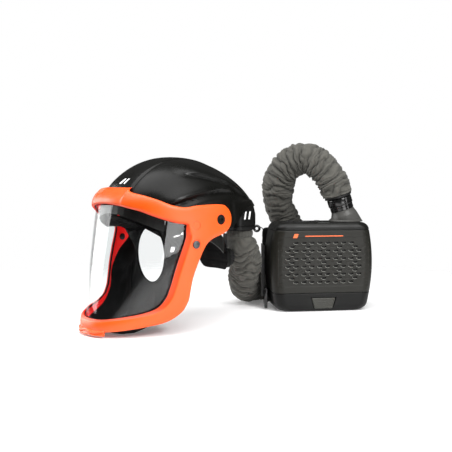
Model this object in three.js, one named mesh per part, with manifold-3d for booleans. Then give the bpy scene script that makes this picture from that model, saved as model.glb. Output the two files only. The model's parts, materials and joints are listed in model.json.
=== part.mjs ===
// Powered air respirator: a helmet with a flip-up visor, a fabric-covered breathing hose and a belt blower.
// Millimetres, +Z up, +X to the right, +Y to the back. The origin is on the floor under the object's middle.
import * as THREE from "three";
import { mergeVertices } from "three/addons/utils/BufferGeometryUtils.js";
import Module from "manifold-3d";

const wasm = await Module();
wasm.setup();

// ---------------------------------------------------------------- driving dimensions
const GAP = 0.3; // between touching pieces
const FLOOR_CENTRE = [21, -55, 0]; // subtracted from every placement below, so the origin is in the middle

// The helmet's own axes are forward, left and up, from the middle of the visor's hinge line.
const HELMET = { place: [-86.5, -88, 191], heading: 221 };
const DOME = { middle: -8, halfLength: 150, halfWidth: 105, height: 106, wall: 3, roundness: 2.3, squareness: 2.4 };
const LINER = { gap: 1.2, thickness: 13, rimLift: 16 };
const VISOR = { reach: 156, browReach: 153.5, halfWidth: 114, squareness: 2.4, frame: 5, lens: 1.6, lip: 9, armRadius: 25.5 };
const PIVOT = { boss: 26, bore: 5.3, shaft: 4.7, head: 8, bossBack: 105.6, bossFace: 111.2, washerFace: 112.6, screwSeat: 119.8 };
const RIVET = { around: 76, up: -40, bore: 3.6, shaft: 3.2, head: 6.8 };
const FACE_HOLE = { forward: 62, up: -64, halfWidth: 42, halfHeight: 50 };
const DUCT = { front: -118, back: -174, halfWidth: 30, top: 27.6, bottom: -30, wall: 3, corner: 14 };
const SOCKET = { forward: -150, radius: 21, wall: 3, length: 13.5 };
const NAPE = { middle: -25, radius: 65, pad: 6, spread: 36, top: -49, bottom: -104, axisUp: -82 };
const KNOB = { radius: 17, thickness: 13, ribs: 10 };

// The blower's own axes are right, back and up, from the middle of its underside.
const BLOWER = { place: [184.5, 50, 0], yaw: 8 };
const BODY = { halfWidth: 103, halfDepth: 48, middle: 92, height: 174, corner: 22, foot: 14, shoulder: 12, wall: 3 };
const BATTERY_TOP = 36.4;
const CAP_BOTTOM = 159.6;
const COVER_BACK = -28; // the filter cover is all of the body in front of this plane
const LOUVRE = { rows: 11, pitch: 15.8, rise: 7.65, bottom: 58.5, halfWidth: 4.7, halfHeight: 2.1 };
const FAN = { x: -14, z: 96, bore: 41, inlet: 25, front: -12, back: 26, blades: 9 };
const NECK = { x: 50, z: 198, lean: 17.8, radius: 22.5, wall: 3, collar: 26, band: 28.5 };
const HOSE = { radius: 31, steps: 40, sides: 8 };

// ---------------------------------------------------------------- materials
const finish = (color, roughness, metalness = 0) => () => new THREE.MeshStandardMaterial({ color, roughness, metalness });
const orange = finish(0xf0692a, 0.4);
const shellBlack = finish(0x242422, 0.45);
const black = finish(0x1b1b1b, 0.55);
const rubber = finish(0x161616, 0.8);
const casing = finish(0x34352f, 0.6);
const clear = finish(0xdfe6e8, 0.05);
const foam = finish(0xd8d8d2, 0.95);
const cloth = finish(0x121212, 0.95);
const hoseCloth = finish(0x6b6860, 0.95);
const webbing = finish(0x151515, 0.85);
const filterPaper = finish(0xe9e6da, 0.95);
const steel = finish(0x8d8f92, 0.35, 1);
const board = finish(0x1f5a36, 0.5);
const cellWrap = finish(0x2f6fa8, 0.4);

// ---------------------------------------------------------------- geometry helpers
const vec = (x, y, z) => new THREE.Vector3(x, y, z);
const rad = THREE.MathUtils.degToRad;
const lerp = THREE.MathUtils.lerp;
const range = (count) => Array.from({ length: count }, (_, i) => i);
const signedPower = (value, power) => Math.sign(value) * Math.abs(value) ** power;

function signedVolume(points, faces) {
  let sum = 0;
  for (let i = 0; i < faces.length; i += 3) {
    const [a, b, c] = [points[faces[i]], points[faces[i + 1]], points[faces[i + 2]]];
    sum += a.dot(vec(0, 0, 0).crossVectors(b, c));
  }
  return sum / 6;
}

// A closed surface through rings that all have the same number of points. Ends says how it closes: "fan" puts
// a middle point in each end ring, "meet" joins the last ring to the first, and a list of quads closes each
// end ring with those four of its points at a time.
function loft(rings, ends = "fan") {
  const count = rings[0].length;
  const points = rings.flat();
  const faces = [];
  const quad = (a, b, c, d) => faces.push(a, b, c, a, c, d);
  const spans = ends === "meet" ? rings.length : rings.length - 1;
  for (let i = 0; i < spans; i++) {
    const low = i * count;
    const high = ((i + 1) % rings.length) * count;
    for (let j = 0; j < count; j++) {
      const next = (j + 1) % count;
      quad(low + j, high + j, high + next, low + next);
    }
  }
  const last = (rings.length - 1) * count;
  if (ends === "fan") {
    for (const start of [0, last]) {
      const ring = points.slice(start, start + count);
      points.push(ring.reduce((sum, p) => sum.add(p), vec(0, 0, 0)).divideScalar(count));
      for (let j = 0; j < count; j++) {
        const edge = [start + j, start + ((j + 1) % count)];
        faces.push(points.length - 1, ...(start === last ? edge.reverse() : edge));
      }
    }
  } else if (ends !== "meet") {
    for (const [a, b, c, d] of ends) {
      quad(a, b, c, d);
      quad(last + d, last + c, last + b, last + a);
    }
  }
  if (signedVolume(points, faces) < 0) faces.reverse();
  return new THREE.BufferGeometry().setFromPoints(points).setIndex(faces);
}

// The quads that close a thin end ring, whose second half runs back beside its first.
const stripEnds = (count) => range(count / 2 - 1).map((j) => [j, j + 1, count - 2 - j, count - 1 - j]);

function toSolid(geometry) {
  const bare = geometry.clone();
  bare.deleteAttribute("normal");
  bare.deleteAttribute("uv");
  const merged = mergeVertices(bare, 1e-4);
  return new wasm.Manifold(
    new wasm.Mesh({
      numProp: 3,
      vertProperties: merged.getAttribute("position").array,
      triVerts: new Uint32Array(merged.index.array),
    }),
  );
}

function fromSolid(solid) {
  const mesh = solid.getMesh();
  const geometry = new THREE.BufferGeometry();
  geometry.setAttribute("position", new THREE.BufferAttribute(mesh.vertProperties, 3));
  geometry.setIndex(new THREE.BufferAttribute(mesh.triVerts, 1));
  return geometry;
}

const cut = (from, ...tools) => fromSolid(tools.reduce((left, tool) => left.subtract(toSolid(tool)), toSolid(from)));
const join = (...pieces) => fromSolid(pieces.map(toSolid).reduce((all, piece) => all.add(piece)));

// A box between two corners.
function box(low, high) {
  const size = high.map((value, i) => value - low[i]);
  const middle = high.map((value, i) => (value + low[i]) / 2);
  return new THREE.BoxGeometry(...size).translate(...middle);
}

// A solid of revolution about an axis, from [radius, distance along the axis] corners.
function turned(profile, axis = vec(0, 0, 1), segments = 20) {
  const closed = profile[0][0] > 0 ? [...profile, profile[0]] : profile;
  const shape = closed.map(([radius, along]) => new THREE.Vector2(radius, along));
  const geometry = new THREE.LatheGeometry(shape, segments);
  return facingOut(geometry).applyQuaternion(new THREE.Quaternion().setFromUnitVectors(vec(0, 1, 0), axis.clone().normalize()));
}

function facingOut(geometry) {
  const index = geometry.index.array;
  const place = geometry.getAttribute("position");
  const points = range(place.count).map((i) => vec(0, 0, 0).fromBufferAttribute(place, i));
  if (signedVolume(points, [...index]) < 0) geometry.setIndex([...index].reverse());
  return geometry;
}

const disc = (radius, from, to, axis, segments) => turned([[0, from], [radius, from], [radius, to], [0, to]], axis, segments);
const pipe = (inner, outer, from, to, axis, segments) =>
  turned([[inner, from], [outer, from], [outer, to], [inner, to]], axis, segments);

// The corners of a rectangle with round corners, in the horizontal plane at a height.
function roundedRing(halfX, halfY, corner, z, perCorner = 4) {
  return range(4 * perCorner).map((i) => {
    const quarter = Math.floor(i / perCorner);
    const turn = rad(90 * quarter + (90 * (i % perCorner)) / (perCorner - 1));
    const signX = quarter === 0 || quarter === 3 ? 1 : -1;
    const signY = quarter < 2 ? 1 : -1;
    const x = signX * (halfX - corner) + corner * Math.cos(turn);
    const y = signY * (halfY - corner) + corner * Math.sin(turn);
    return vec(x, y, z);
  });
}

// A flat strap: a thin rectangle carried along a path, its width along the given direction.
function strap(path, width, thickness, widthAlong) {
  return loft(
    path.map((point, i) => {
      const ahead = path[Math.min(i + 1, path.length - 1)];
      const behind = path[Math.max(i - 1, 0)];
      const run = ahead.clone().sub(behind).normalize();
      const across = widthAlong.clone().addScaledVector(run, -widthAlong.dot(run)).normalize();
      const face = vec(0, 0, 0).crossVectors(run, across);
      return [[-1, -1], [1, -1], [1, 1], [-1, 1]].map(([a, b]) =>
        point.clone().addScaledVector(across, (a * width) / 2).addScaledVector(face, (b * thickness) / 2),
      );
    }),
  );
}

// The visor, the helmet and the blower each have a group. Every named mesh goes into one of them.
const respirator = new THREE.Group();
const helmet = new THREE.Group();
helmet.position.set(...HELMET.place);
helmet.rotation.z = rad(HELMET.heading);
const blower = new THREE.Group();
blower.position.set(...BLOWER.place);
blower.rotation.z = rad(BLOWER.yaw);
respirator.add(helmet, blower);
respirator.position.set(...FLOOR_CENTRE).negate();

function add(parent, name, geometry, material) {
  const mesh = new THREE.Mesh(geometry, material());
  mesh.name = name;
  parent.add(mesh);
  return mesh;
}

// ---------------------------------------------------------------- helmet dome
// A point on the dome. Around is an angle from straight ahead, rise is 0 at the widest level and 90 on top.
function domePoint(around, rise, inset = 0) {
  const level = signedPower(Math.sin(rise), 2 / DOME.roundness);
  const spread = Math.abs(Math.cos(rise)) ** (2 / DOME.roundness);
  const above = Math.max(level, 0);
  const taper = Math.cos(around) > 0 ? 1 - 0.36 * above ** 3 : 1 - 0.33 * above;
  const forward = (DOME.halfLength - inset) * spread * taper * signedPower(Math.cos(around), 2 / DOME.squareness);
  const left = (DOME.halfWidth - inset) * spread * signedPower(Math.sin(around), 2 / DOME.squareness);
  return vec(DOME.middle + 26 * above ** 2 + forward, left, (DOME.height - inset) * level);
}

// The dome's lower edge: high over the brow and the duct, with a flap down over each hinge.
function rimHeight(around) {
  const ahead = Math.max(0, Math.cos(around)) ** 2;
  const behind = Math.max(0, -Math.cos(around)) ** 12;
  const turn = Math.abs(THREE.MathUtils.euclideanModulo(around + Math.PI, 2 * Math.PI) - Math.PI);
  const flap = Math.exp(-(((turn - rad(92)) / rad(15)) ** 2));
  return 18 + 24 * ahead + 11 * behind - 40 * flap;
}

const riseOf = (height, inset) => Math.asin(signedPower(height / (DOME.height - inset), DOME.roundness / 2));

function domeRings(inset, rimLift, segments, rows) {
  const top = rad(86);
  return range(rows + 1).map((row) =>
    range(segments).map((i) => {
      const around = (2 * Math.PI * i) / segments;
      const rim = riseOf(rimHeight(around) + rimLift, inset);
      return domePoint(around, lerp(top, rim, row / rows), inset);
    }),
  );
}

const bowl = (outer, inner, rimLift, segments, rows) =>
  loft([...domeRings(outer, rimLift, segments, rows), ...domeRings(inner, rimLift, segments, rows).reverse()]);

// ---------------------------------------------------------------- visor surface
const visorReach = (up) => (up < 15 ? VISOR.reach - 0.165 * up : VISOR.browReach - 0.012 * (up - 15) ** 2);
const visorHalfWidth = (up) => VISOR.halfWidth - (up < 0 ? 24 * (up / 185) ** 2 : 0.004 * Math.max(0, up - 26) ** 2);

// A point on the visor's curved surface, out from it by a distance. Around is in degrees from straight ahead.
function visorPoint(around, up, out = 0) {
  const reach = visorReach(up);
  const halfWidth = visorHalfWidth(up);
  const cos = Math.cos(rad(around));
  const sin = Math.sin(rad(around));
  const forward = reach * signedPower(cos, 2 / VISOR.squareness);
  const left = halfWidth * signedPower(sin, 2 / VISOR.squareness);
  const steep = VISOR.squareness - 1;
  const normal = vec(
    signedPower(forward / reach, steep) / reach,
    signedPower(left / halfWidth, steep) / halfWidth,
    0,
  ).normalize();
  return vec(forward, left, up).addScaledVector(normal, out);
}

// The angle around the visor surface of a point that is a small distance ahead of the hinge line.
const aroundAt = (forward, up) =>
  THREE.MathUtils.radToDeg(Math.acos(signedPower(forward / visorReach(up), VISOR.squareness / 2)));

const FRAME_STEPS = 30; // cross-sections in each half of the frame
const LENS_DEPTH = 3; // from the frame's back to the lens

// The left half of the frame, from the brow's middle round the hinge arm to the chin's middle. Each row is
// [outer edge around, up, window edge around, up].
function frameStations() {
  const brow = [
    [0, 55, 0, 27],
    [8, 55, 8, 26],
    [16.5, 54, 16, 24],
    [20, 48, 20, 22.5],
    [36, 41, 34, 16],
    [48, 34, 45, 8],
    [59, 25.5, 55, 1],
    [68, 22, 63, -4],
    [76, 24.5, 67.5, -5.5],
  ];
  const arm = [80, 55, 30, 5, -20, -45, -70].map((turn, i) => {
    const forward = -VISOR.armRadius * Math.cos(rad(turn));
    const up = VISOR.armRadius * Math.sin(rad(turn));
    return [aroundAt(forward, up), up, 69.5, -7 - 2 * i];
  });
  const cheekAndChin = [
    [85, -35, 69.8, -24],
    [82, -47, 69, -36],
    [79, -69, 67, -56],
    [76.5, -97, 64.5, -86],
    [76, -118, 63, -110],
    [75.5, -136, 61, -129],
    [72, -155, 56, -144],
    [64, -168, 47, -151],
    [50, -174, 37, -155],
    [32, -179, 24, -159],
    [15, -182, 12, -162],
    [0, -183, 0, -163],
  ];
  return [...brow, ...arm, ...cheekAndChin];
}

// Pairs of matching points round the whole frame: { outer, inner }, each with x = around and y = up.
function framePairs(perHalf) {
  const rows = frameStations();
  const curve = (first) => new THREE.CatmullRomCurve3(rows.map((row) => vec(row[first], row[first + 1], 0)));
  const [outer, inner] = [curve(0), curve(2)];
  const left = range(perHalf + 1).map((i) => ({ outer: outer.getPoint(i / perHalf), inner: inner.getPoint(i / perHalf) }));
  const mirrored = ({ outer: a, inner: b }) => ({ outer: vec(-a.x, a.y, 0), inner: vec(-b.x, b.y, 0) });
  return [...left, ...left.slice(1, -1).reverse().map(mirrored)];
}

function onVisor({ outer, inner }, share, out) {
  return visorPoint(lerp(outer.x, inner.x, share), lerp(outer.y, inner.y, share), out);
}

// One cross-section of the frame: a round outer edge, a crowned face and a low lip along the window.
function frameSection(pair) {
  const width = onVisor(pair, 0, 0).distanceTo(onVisor(pair, 1, 0));
  const lip = 1 - Math.min(VISOR.lip / width, 0.4);
  const edge = 2.5 / width;
  const raised = Math.abs(pair.outer.x) < 17 && pair.outer.y > 0 ? 3 : 0;
  const face = VISOR.frame + raised;
  const front = [[0, face - 2], [edge, face], [lerp(edge, lip, 0.5), face + 0.4], [lip, face - 0.4], [1, 1.4]];
  const back = [[1, 0], [0.66, 0], [0.33, 0], [0, 0]];
  return [...front, ...back].map(([share, out]) => onVisor(pair, share, out));
}

// A lip to lift the visor by, along the front of the chin.
function chinTab() {
  const sections = range(9).map((i) => {
    const around = lerp(-17, 17, i / 8);
    const reach = 4 + 3 * Math.cos(rad(around * 4.6)) ** 0.5;
    const wave = 1.5 * Math.cos(rad(around * 20));
    return [[1, -178], [reach, -181 + wave], [reach, -188 + wave], [1, -190.6]].map(([out, up]) =>
      visorPoint(around, up, out),
    );
  });
  return loft(sections);
}

const plugAlong = (radius, around, up, from, to) => {
  const inner = visorPoint(around, up, 0);
  const axis = visorPoint(around, up, 1).sub(inner);
  return disc(radius, from, to, axis, 12).translate(...inner.toArray());
};

function visorFrame() {
  const ring = loft(framePairs(FRAME_STEPS).map(frameSection), "meet");
  const bores = [1, -1].flatMap((side) => [
    disc(PIVOT.bore, 105, 130, vec(0, side, 0), 14),
    plugAlong(RIVET.bore, side * RIVET.around, RIVET.up, -8, 12),
  ]);
  return cut(join(ring, chinTab()), ...bores);
}

// A thin sheet behind the window that runs a little way behind the frame all round.
function visorLens() {
  const top = (around) => 31 - 36 * (Math.abs(around) / 70) ** 1.4;
  const bottom = (around) => -168 + 14 * (Math.abs(around) / 66) ** 2;
  const sheet = (out) => (row) =>
    range(27).map((i) => {
      const around = lerp(-1, 1, i / 26) * lerp(65, 72, row / 3);
      return visorPoint(around, lerp(bottom(around), top(around), row / 3), out);
    });
  const rings = range(4).map((row) => [...sheet(-LENS_DEPTH)(row), ...sheet(-LENS_DEPTH - VISOR.lens)(row).reverse()]);
  return loft(rings, stripEnds(rings[0].length));
}

function lensSeal() {
  const section = (pair) => {
    const width = onVisor(pair, 0, 0).distanceTo(onVisor(pair, 1, 0));
    const start = 1 - Math.min(4 / width, 0.3);
    return [[start, -0.8], [1, -0.8], [1, -1.8], [start, -1.8]].map(([share, out]) => onVisor(pair, share, out));
  };
  return loft(framePairs(FRAME_STEPS).map(section), "meet");
}

// ---------------------------------------------------------------- face seal
// The edge that meets the frame, from the chin's middle up the left side to under the brow vent. Each row is
// [around, up, out].
const SEAL_EDGE = [
  [0, -172, -6.5],
  [30, -169, -6.5],
  [54, -158, -6.5],
  [65, -130, -6.5],
  [68, -90, -6.5],
  [70, -50, -6.5],
  [65, -21, -11],
  [45, -20, -22],
  [22, -5, -24],
  [0, 4, -24],
];

// A fabric funnel from the frame to an oval round the face, hanging in a fold under the chin.
function faceSeal() {
  const curve = new THREE.CatmullRomCurve3(SEAL_EDGE.map((row) => vec(...row)));
  const half = 18;
  const focus = vec(150, 0, -70);
  const thickness = 2.2;
  const section = (step) => {
    const turn = (Math.PI * step) / half;
    const edge = curve.getPoint(Math.abs(step) / half);
    const start = visorPoint(Math.sign(step) * edge.x, edge.y, edge.z);
    const end = vec(
      FACE_HOLE.forward,
      FACE_HOLE.halfWidth * Math.sin(turn),
      FACE_HOLE.up - FACE_HOLE.halfHeight * Math.cos(turn),
    );
    const sag = Math.max(0, Math.cos(turn)) ** 2;
    const first = start.clone().lerp(end, 0.3).add(vec(0, 0, -31 * sag));
    const second = start.clone().lerp(end, 0.65).add(vec(0, 0, -46 * sag));
    const inside = [start, first, second, end];
    const outside = inside.map((p) => p.clone().addScaledVector(p.clone().sub(focus).normalize(), thickness));
    return [...inside, ...outside.reverse()];
  };
  return loft(range(2 * half).map((i) => section(i - half)), "meet");
}

// ---------------------------------------------------------------- inside the helmet
const ventUp = (around) => 22 - 30 * (Math.abs(around) / 55) ** 1.5;

// An open channel inside the brow that blows air down over the lens.
function browVent() {
  const section = (around) => {
    const corner = (out, up) => visorPoint(around, ventUp(around) + up, out);
    return [[-10, -11], [-10, 11], [-30, 11], [-30, -11], [-28, -11], [-28, 9], [-12, 9], [-12, -11]].map(([a, b]) =>
      corner(a, b),
    );
  };
  const sections = range(15).map((i) => section(lerp(-55, 55, i / 14)));
  return loft(sections, [[0, 1, 6, 7], [1, 2, 5, 6], [2, 3, 4, 5]]);
}

// The headband's path: high in front and low towards the nape, open behind.
function bandPoint(turn, inset = 0) {
  const halfLength = (Math.cos(turn) > 0 ? 100 : 84) - inset;
  return vec(-2 + halfLength * Math.cos(turn), (77 - inset) * Math.sin(turn), -22 + 45 * Math.cos(turn));
}

const band = (spread, steps, inset, width, thickness) =>
  strap(range(steps + 1).map((i) => bandPoint(rad(lerp(-spread, spread, i / steps)), inset)), width, thickness, vec(0, 0, 1));

function crownStrap(top, halfSpan, along) {
  const path = range(13).map((i) => {
    const turn = rad(lerp(12, 168, i / 12));
    const reach = halfSpan * Math.cos(turn);
    return along ? vec(reach + 4, 0, top * Math.sin(turn)) : vec(4, reach, top * Math.sin(turn));
  });
  return strap(path, 20, 1.6, along ? vec(0, 1, 0) : vec(1, 0, 0));
}

function rearDuct() {
  const middle = (DUCT.front + DUCT.back) / 2;
  const halfLength = (DUCT.front - DUCT.back) / 2;
  const ring = (inset, z, shrink = 0) =>
    roundedRing(halfLength - inset - shrink, DUCT.halfWidth - inset - shrink, DUCT.corner - inset, z).map((p) =>
      p.add(vec(middle, 0, 0)),
    );
  const outer = loft([ring(0, DUCT.bottom), ring(0, DUCT.top - 8), ring(0, DUCT.top - 4, 2), ring(0, DUCT.top, 8)]);
  const inner = loft([ring(DUCT.wall, DUCT.bottom + 3), ring(DUCT.wall, DUCT.top - 10)]);
  const airWay = box([DUCT.front - 12, -20, DUCT.bottom + 6], [DUCT.front + 10, 20, DUCT.top - 14]);
  const mouth = disc(SOCKET.radius - SOCKET.wall, DUCT.bottom - 5, DUCT.bottom + 8, vec(0, 0, 1), 16);
  mouth.translate(SOCKET.forward, 0, 0);
  const dome = loft(domeRings(-0.6, -0.6, 32, 8));
  return cut(outer, inner, airWay, mouth, dome);
}

function ratchetHousing() {
  const shape = roundedRing(18, 22, 9, 0, 3).map((p) => vec(0, p.y, p.x + NAPE.axisUp));
  const ring = (forward) => shape.map((p) => vec(forward, p.y, p.z));
  const front = NAPE.middle - NAPE.radius - NAPE.pad - GAP;
  const bore = disc(3.4, 0, 30, vec(-1, 0, 0), 16).translate(front - 4, 0, NAPE.axisUp);
  return cut(loft([ring(front), ring(front - 13), ring(front - 15)]), bore);
}

function napeCradle() {
  const arc = (radius, z, bow) =>
    range(11).map((i) => {
      const turn = rad(lerp(-NAPE.spread, NAPE.spread, i / 10));
      return vec(NAPE.middle - radius * Math.cos(turn), (radius + bow) * Math.sin(turn), z);
    });
  const level = (z, bow) => [...arc(NAPE.radius, z, bow), ...arc(NAPE.radius + NAPE.pad, z, bow).reverse()];
  const levels = [level(NAPE.bottom, -6), level(NAPE.bottom + 10, 0), level(NAPE.top - 10, 0), level(NAPE.top, -6)];
  return loft(levels, stripEnds(levels[0].length));
}

function ratchetKnob() {
  const back = NAPE.middle - NAPE.radius - NAPE.pad - 15 - 2 * GAP;
  const profile = [[0, 10], [3, 10], [3, 0], [KNOB.radius, 0], [KNOB.radius, -KNOB.thickness + 3], [KNOB.radius - 3, -KNOB.thickness], [0, -KNOB.thickness]];
  const knob = turned(profile, vec(1, 0, 0), 20);
  const notches = range(KNOB.ribs).map((i) => {
    const turn = (2 * Math.PI * (i + 0.5)) / KNOB.ribs;
    const reach = KNOB.radius + 0.8;
    return box([-KNOB.thickness - 1, -1.3, -1.3], [-2.5, 1.3, 1.3])
      .rotateX(turn)
      .translate(0, -reach * Math.sin(turn), reach * Math.cos(turn));
  });
  return cut(knob, ...notches).translate(back, 0, NAPE.axisUp);
}

// ---------------------------------------------------------------- helmet assembly
function buildHelmet() {
  add(helmet, "helmet_shell", bowl(0, DOME.wall, 0, 32, 8), shellBlack);
  add(helmet, "impact_liner", bowl(DOME.wall + LINER.gap, DOME.wall + LINER.thickness, LINER.rimLift, 32, 4), foam);
  add(helmet, "rear_air_duct", rearDuct(), black);
  add(helmet, "brow_air_vent", browVent(), black);
  add(helmet, "headband", band(138, 30, 0, 24, 1.8), black);
  add(helmet, "sweatband", band(48, 12, 4.2, 30, 4.5), cloth);
  add(helmet, "crown_strap_long", crownStrap(80, 82, true), webbing);
  add(helmet, "crown_strap_cross", crownStrap(76, 68, false), webbing);
  const socket = pipe(SOCKET.radius - SOCKET.wall, SOCKET.radius, -SOCKET.length, 0, vec(0, 0, 1), 16);
  add(helmet, "hose_socket", socket.translate(SOCKET.forward, 0, DUCT.bottom - GAP), black);
  add(helmet, "nape_hanger", box([-114, -5, -63], [-111.5, 5, -36]), rubber);
  for (const [name, side] of [["left", 1], ["right", -1]]) {
    const axis = vec(0, side, 0);
    add(helmet, `pivot_base_${name}`, pipe(PIVOT.bore, PIVOT.boss, PIVOT.bossBack, PIVOT.bossFace, axis, 20), black);
    add(helmet, `visor_screw_${name}`, visorScrew(axis), black);
    const washer = pipe(PIVOT.bore, 15, PIVOT.bossFace + GAP, PIVOT.washerFace, axis, 16);
    add(helmet, `friction_washer_${name}`, washer, rubber);
    add(helmet, `lens_rivet_${name}`, lensRivet(side), steel);
  }
  add(helmet, "nape_cradle", napeCradle(), cloth);
  add(helmet, "ratchet_housing", ratchetHousing(), black);
  add(helmet, "ratchet_knob", ratchetKnob(), rubber);
  add(helmet, "visor_frame", visorFrame(), orange);
  add(helmet, "visor_lens", visorLens(), clear);
  add(helmet, "lens_seal", lensSeal(), rubber);
  add(helmet, "face_seal", faceSeal(), cloth);
}

function visorScrew(axis) {
  const { shaft, head, bossBack, screwSeat: seat } = PIVOT;
  const body = [[0, bossBack + 1.5], [shaft, bossBack + 1.5], [shaft, seat], [head, seat], [head, seat + 1.8]];
  const driveHole = [[head - 1.4, seat + 3], [3, seat + 3], [3, seat + 1.2], [0, seat + 1.2]];
  return turned([...body, ...driveHole], axis, 14);
}

function lensRivet(side) {
  const head = VISOR.frame + 0.9;
  const profile = [[0, 0], [RIVET.shaft, 0], [RIVET.shaft, head], [RIVET.head, head], [RIVET.head - 1.5, head + 1.8], [0, head + 2.2]];
  const seat = visorPoint(side * RIVET.around, RIVET.up, 0);
  const axis = visorPoint(side * RIVET.around, RIVET.up, 1).sub(seat);
  return turned(profile, axis, 12).translate(...seat.toArray());
}

// ---------------------------------------------------------------- blower body
// How far a rounded lower or upper edge draws the body in at a height.
function rounding(z) {
  const low = Math.max(0, BODY.foot - z);
  const high = Math.max(0, z - (BODY.height - BODY.shoulder));
  const foot = BODY.foot - Math.sqrt(BODY.foot ** 2 - low ** 2);
  const shoulder = BODY.shoulder - Math.sqrt(BODY.shoulder ** 2 - high ** 2);
  return { side: foot + shoulder, face: 0.6 * (foot + shoulder) };
}

function bodyRing(z, inset = 0) {
  const bulge = ((z - BODY.middle) / 75) ** 2;
  const { side, face } = rounding(z);
  return roundedRing(BODY.halfWidth - 8 * bulge - side - inset, BODY.halfDepth - 1.5 * bulge - face - inset, BODY.corner - inset, z);
}

const bodyBlock = (levels, inset) => loft(levels.map((z) => bodyRing(z, inset)));

const bodyLevels = (from, to) => [from, 65, 92, 120, 142, to];

function bodyWall() {
  const outer = bodyBlock(bodyLevels(BATTERY_TOP + GAP, CAP_BOTTOM - GAP), 0);
  const inner = bodyBlock(bodyLevels(BATTERY_TOP + BODY.wall, CAP_BOTTOM - BODY.wall), BODY.wall);
  return cut(outer, inner);
}

// One louvre hole: a lens shape through the front wall.
function louvreHole(x, z) {
  const shape = new THREE.Shape();
  const { halfWidth: w, halfHeight: h } = LOUVRE;
  shape.moveTo(-w, -h * 0.3);
  shape.lineTo(w * 0.4, -h);
  shape.lineTo(w, h * 0.3);
  shape.lineTo(-w * 0.4, h);
  return new THREE.ExtrudeGeometry(shape, { depth: 20, bevelEnabled: false })
    .rotateX(Math.PI / 2)
    .translate(x, -40, z);
}

function louvreHoles() {
  return range(LOUVRE.rows).flatMap((row) => {
    const sparse = row % 2 === 1;
    const short = row === 0 || row === LOUVRE.rows - 1;
    const columns = sparse ? [0, 2, 4, 6, 8].map((c) => c + 0.5) : range(short ? 8 : 10).map((c) => c + (short ? 1 : 0));
    return columns.map((c) => louvreHole((c - 4.5) * LOUVRE.pitch, LOUVRE.bottom + row * LOUVRE.rise));
  });
}

const filterCover = () => cut(bodyWall(), box([-120, COVER_BACK - GAP, 0], [120, 120, 200]), ...louvreHoles());

function blowerHousing() {
  const screwHoles = screwPlaces().map(([x, z]) => disc(2.6, 30, 60, vec(0, 1, 0), 12).translate(x, 0, z));
  const outlet = box([FAN.x + 42, -6, 150], [FAN.x + 76, 20, 165]);
  return cut(bodyWall(), box([-120, -120, 0], [120, COVER_BACK, 200]), outlet, ...screwHoles);
}

const screwPlaces = () => [[-82, 56], [82, 56], [-82, 144], [82, 144]];

function topCap() {
  const levels = [CAP_BOTTOM, 164, 168, 171, 173, 173.8];
  const lid = bodyBlock(levels, 0);
  const hollow = bodyBlock([CAP_BOTTOM - 5, 164, 169], BODY.wall);
  const outlet = disc(19, 160, 180, vec(0, 0, 1), 24).translate(57, 0, 0);
  const latchWell = box([-14, -60, 168], [14, -29.5, 180]);
  const panelWell = box([-72, -17, 172.6], [14, 19, 180]);
  const buttonHoles = buttonPlaces().map(([x]) => disc(7.4, 160, 180, vec(0, 0, 1), 16).translate(x, 1, 0));
  return cut(lid, hollow, outlet, latchWell, panelWell, ...buttonHoles);
}

const buttonPlaces = () => [[-56, "power_button"], [-2, "flow_button"]];

function controlPanel() {
  const plate = box([-71.6, -16.6, 172.9], [13.6, 18.6, 174.4]);
  const holes = buttonPlaces().map(([x]) => disc(7.4, 160, 180, vec(0, 0, 1), 16).translate(x, 1, 0));
  const window = box([-43, -6, 173.8], [-15, 8, 180]);
  return cut(plate, ...holes, window);
}

const panelButton = (x) =>
  turned([[0, 165.5], [7, 165.5], [7, 175.4], [5.6, 176.4], [0, 176.4]], vec(0, 0, 1), 16).translate(x, 1, 0);

function coverLatch() {
  const ring = (halfX, halfY, z) => roundedRing(halfX, halfY, 3, z, 3).map((p) => p.add(vec(0, -36, 0)));
  return loft([ring(13.4, 6, 168.6), ring(13.4, 6, 174), ring(11.5, 4.4, 176)]);
}

// ---------------------------------------------------------------- outlet neck, collar and hose
const neckAxis = vec(-Math.sin(rad(NECK.lean)), 0, Math.cos(rad(NECK.lean)));
const neckSide = vec(Math.cos(rad(NECK.lean)), 0, Math.sin(rad(NECK.lean)));
const neckPoint = (along) => vec(NECK.x, 0, NECK.z).addScaledVector(neckAxis, along);

function neckRing(along, radius) {
  return range(16).map((i) => {
    const turn = (2 * Math.PI * i) / 16;
    return neckPoint(along)
      .addScaledVector(neckSide, radius * Math.cos(turn))
      .add(vec(0, radius * Math.sin(turn), 0));
  });
}

function neckFoot(halfX, halfY) {
  return range(16).map((i) => {
    const turn = (2 * Math.PI * i) / 16;
    return vec(57 + halfX * Math.cos(turn), halfY * Math.sin(turn), BODY.height + GAP);
  });
}

function outletNeck() {
  const outer = [neckFoot(34, 26), neckRing(-11, 27), neckRing(-GAP, NECK.radius)];
  const inner = [neckRing(-GAP, NECK.radius - NECK.wall), neckRing(-11, 22), neckFoot(22, 20)];
  return loft([...outer, ...inner], "meet");
}

const alongNeck = (geometry) => {
  geometry.applyQuaternion(new THREE.Quaternion().setFromUnitVectors(vec(0, 0, 1), neckAxis));
  return geometry.translate(...neckPoint(0).toArray());
};

function bayonetCollar() {
  const bore = NECK.radius - NECK.wall;
  const outer = NECK.radius + 0.8;
  const wall = [[bore, 0], [outer, 0], [outer, 9], [outer + 1.2, 11], [outer + 1.2, NECK.collar], [bore, NECK.collar]];
  return alongNeck(turned(wall, vec(0, 0, 1), 16));
}

const BAND_LENGTH = 5;
const hoseBand = () =>
  alongNeck(pipe(19, NECK.band, NECK.collar + GAP, NECK.collar + GAP + BAND_LENGTH, vec(0, 0, 1), 16));

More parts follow.
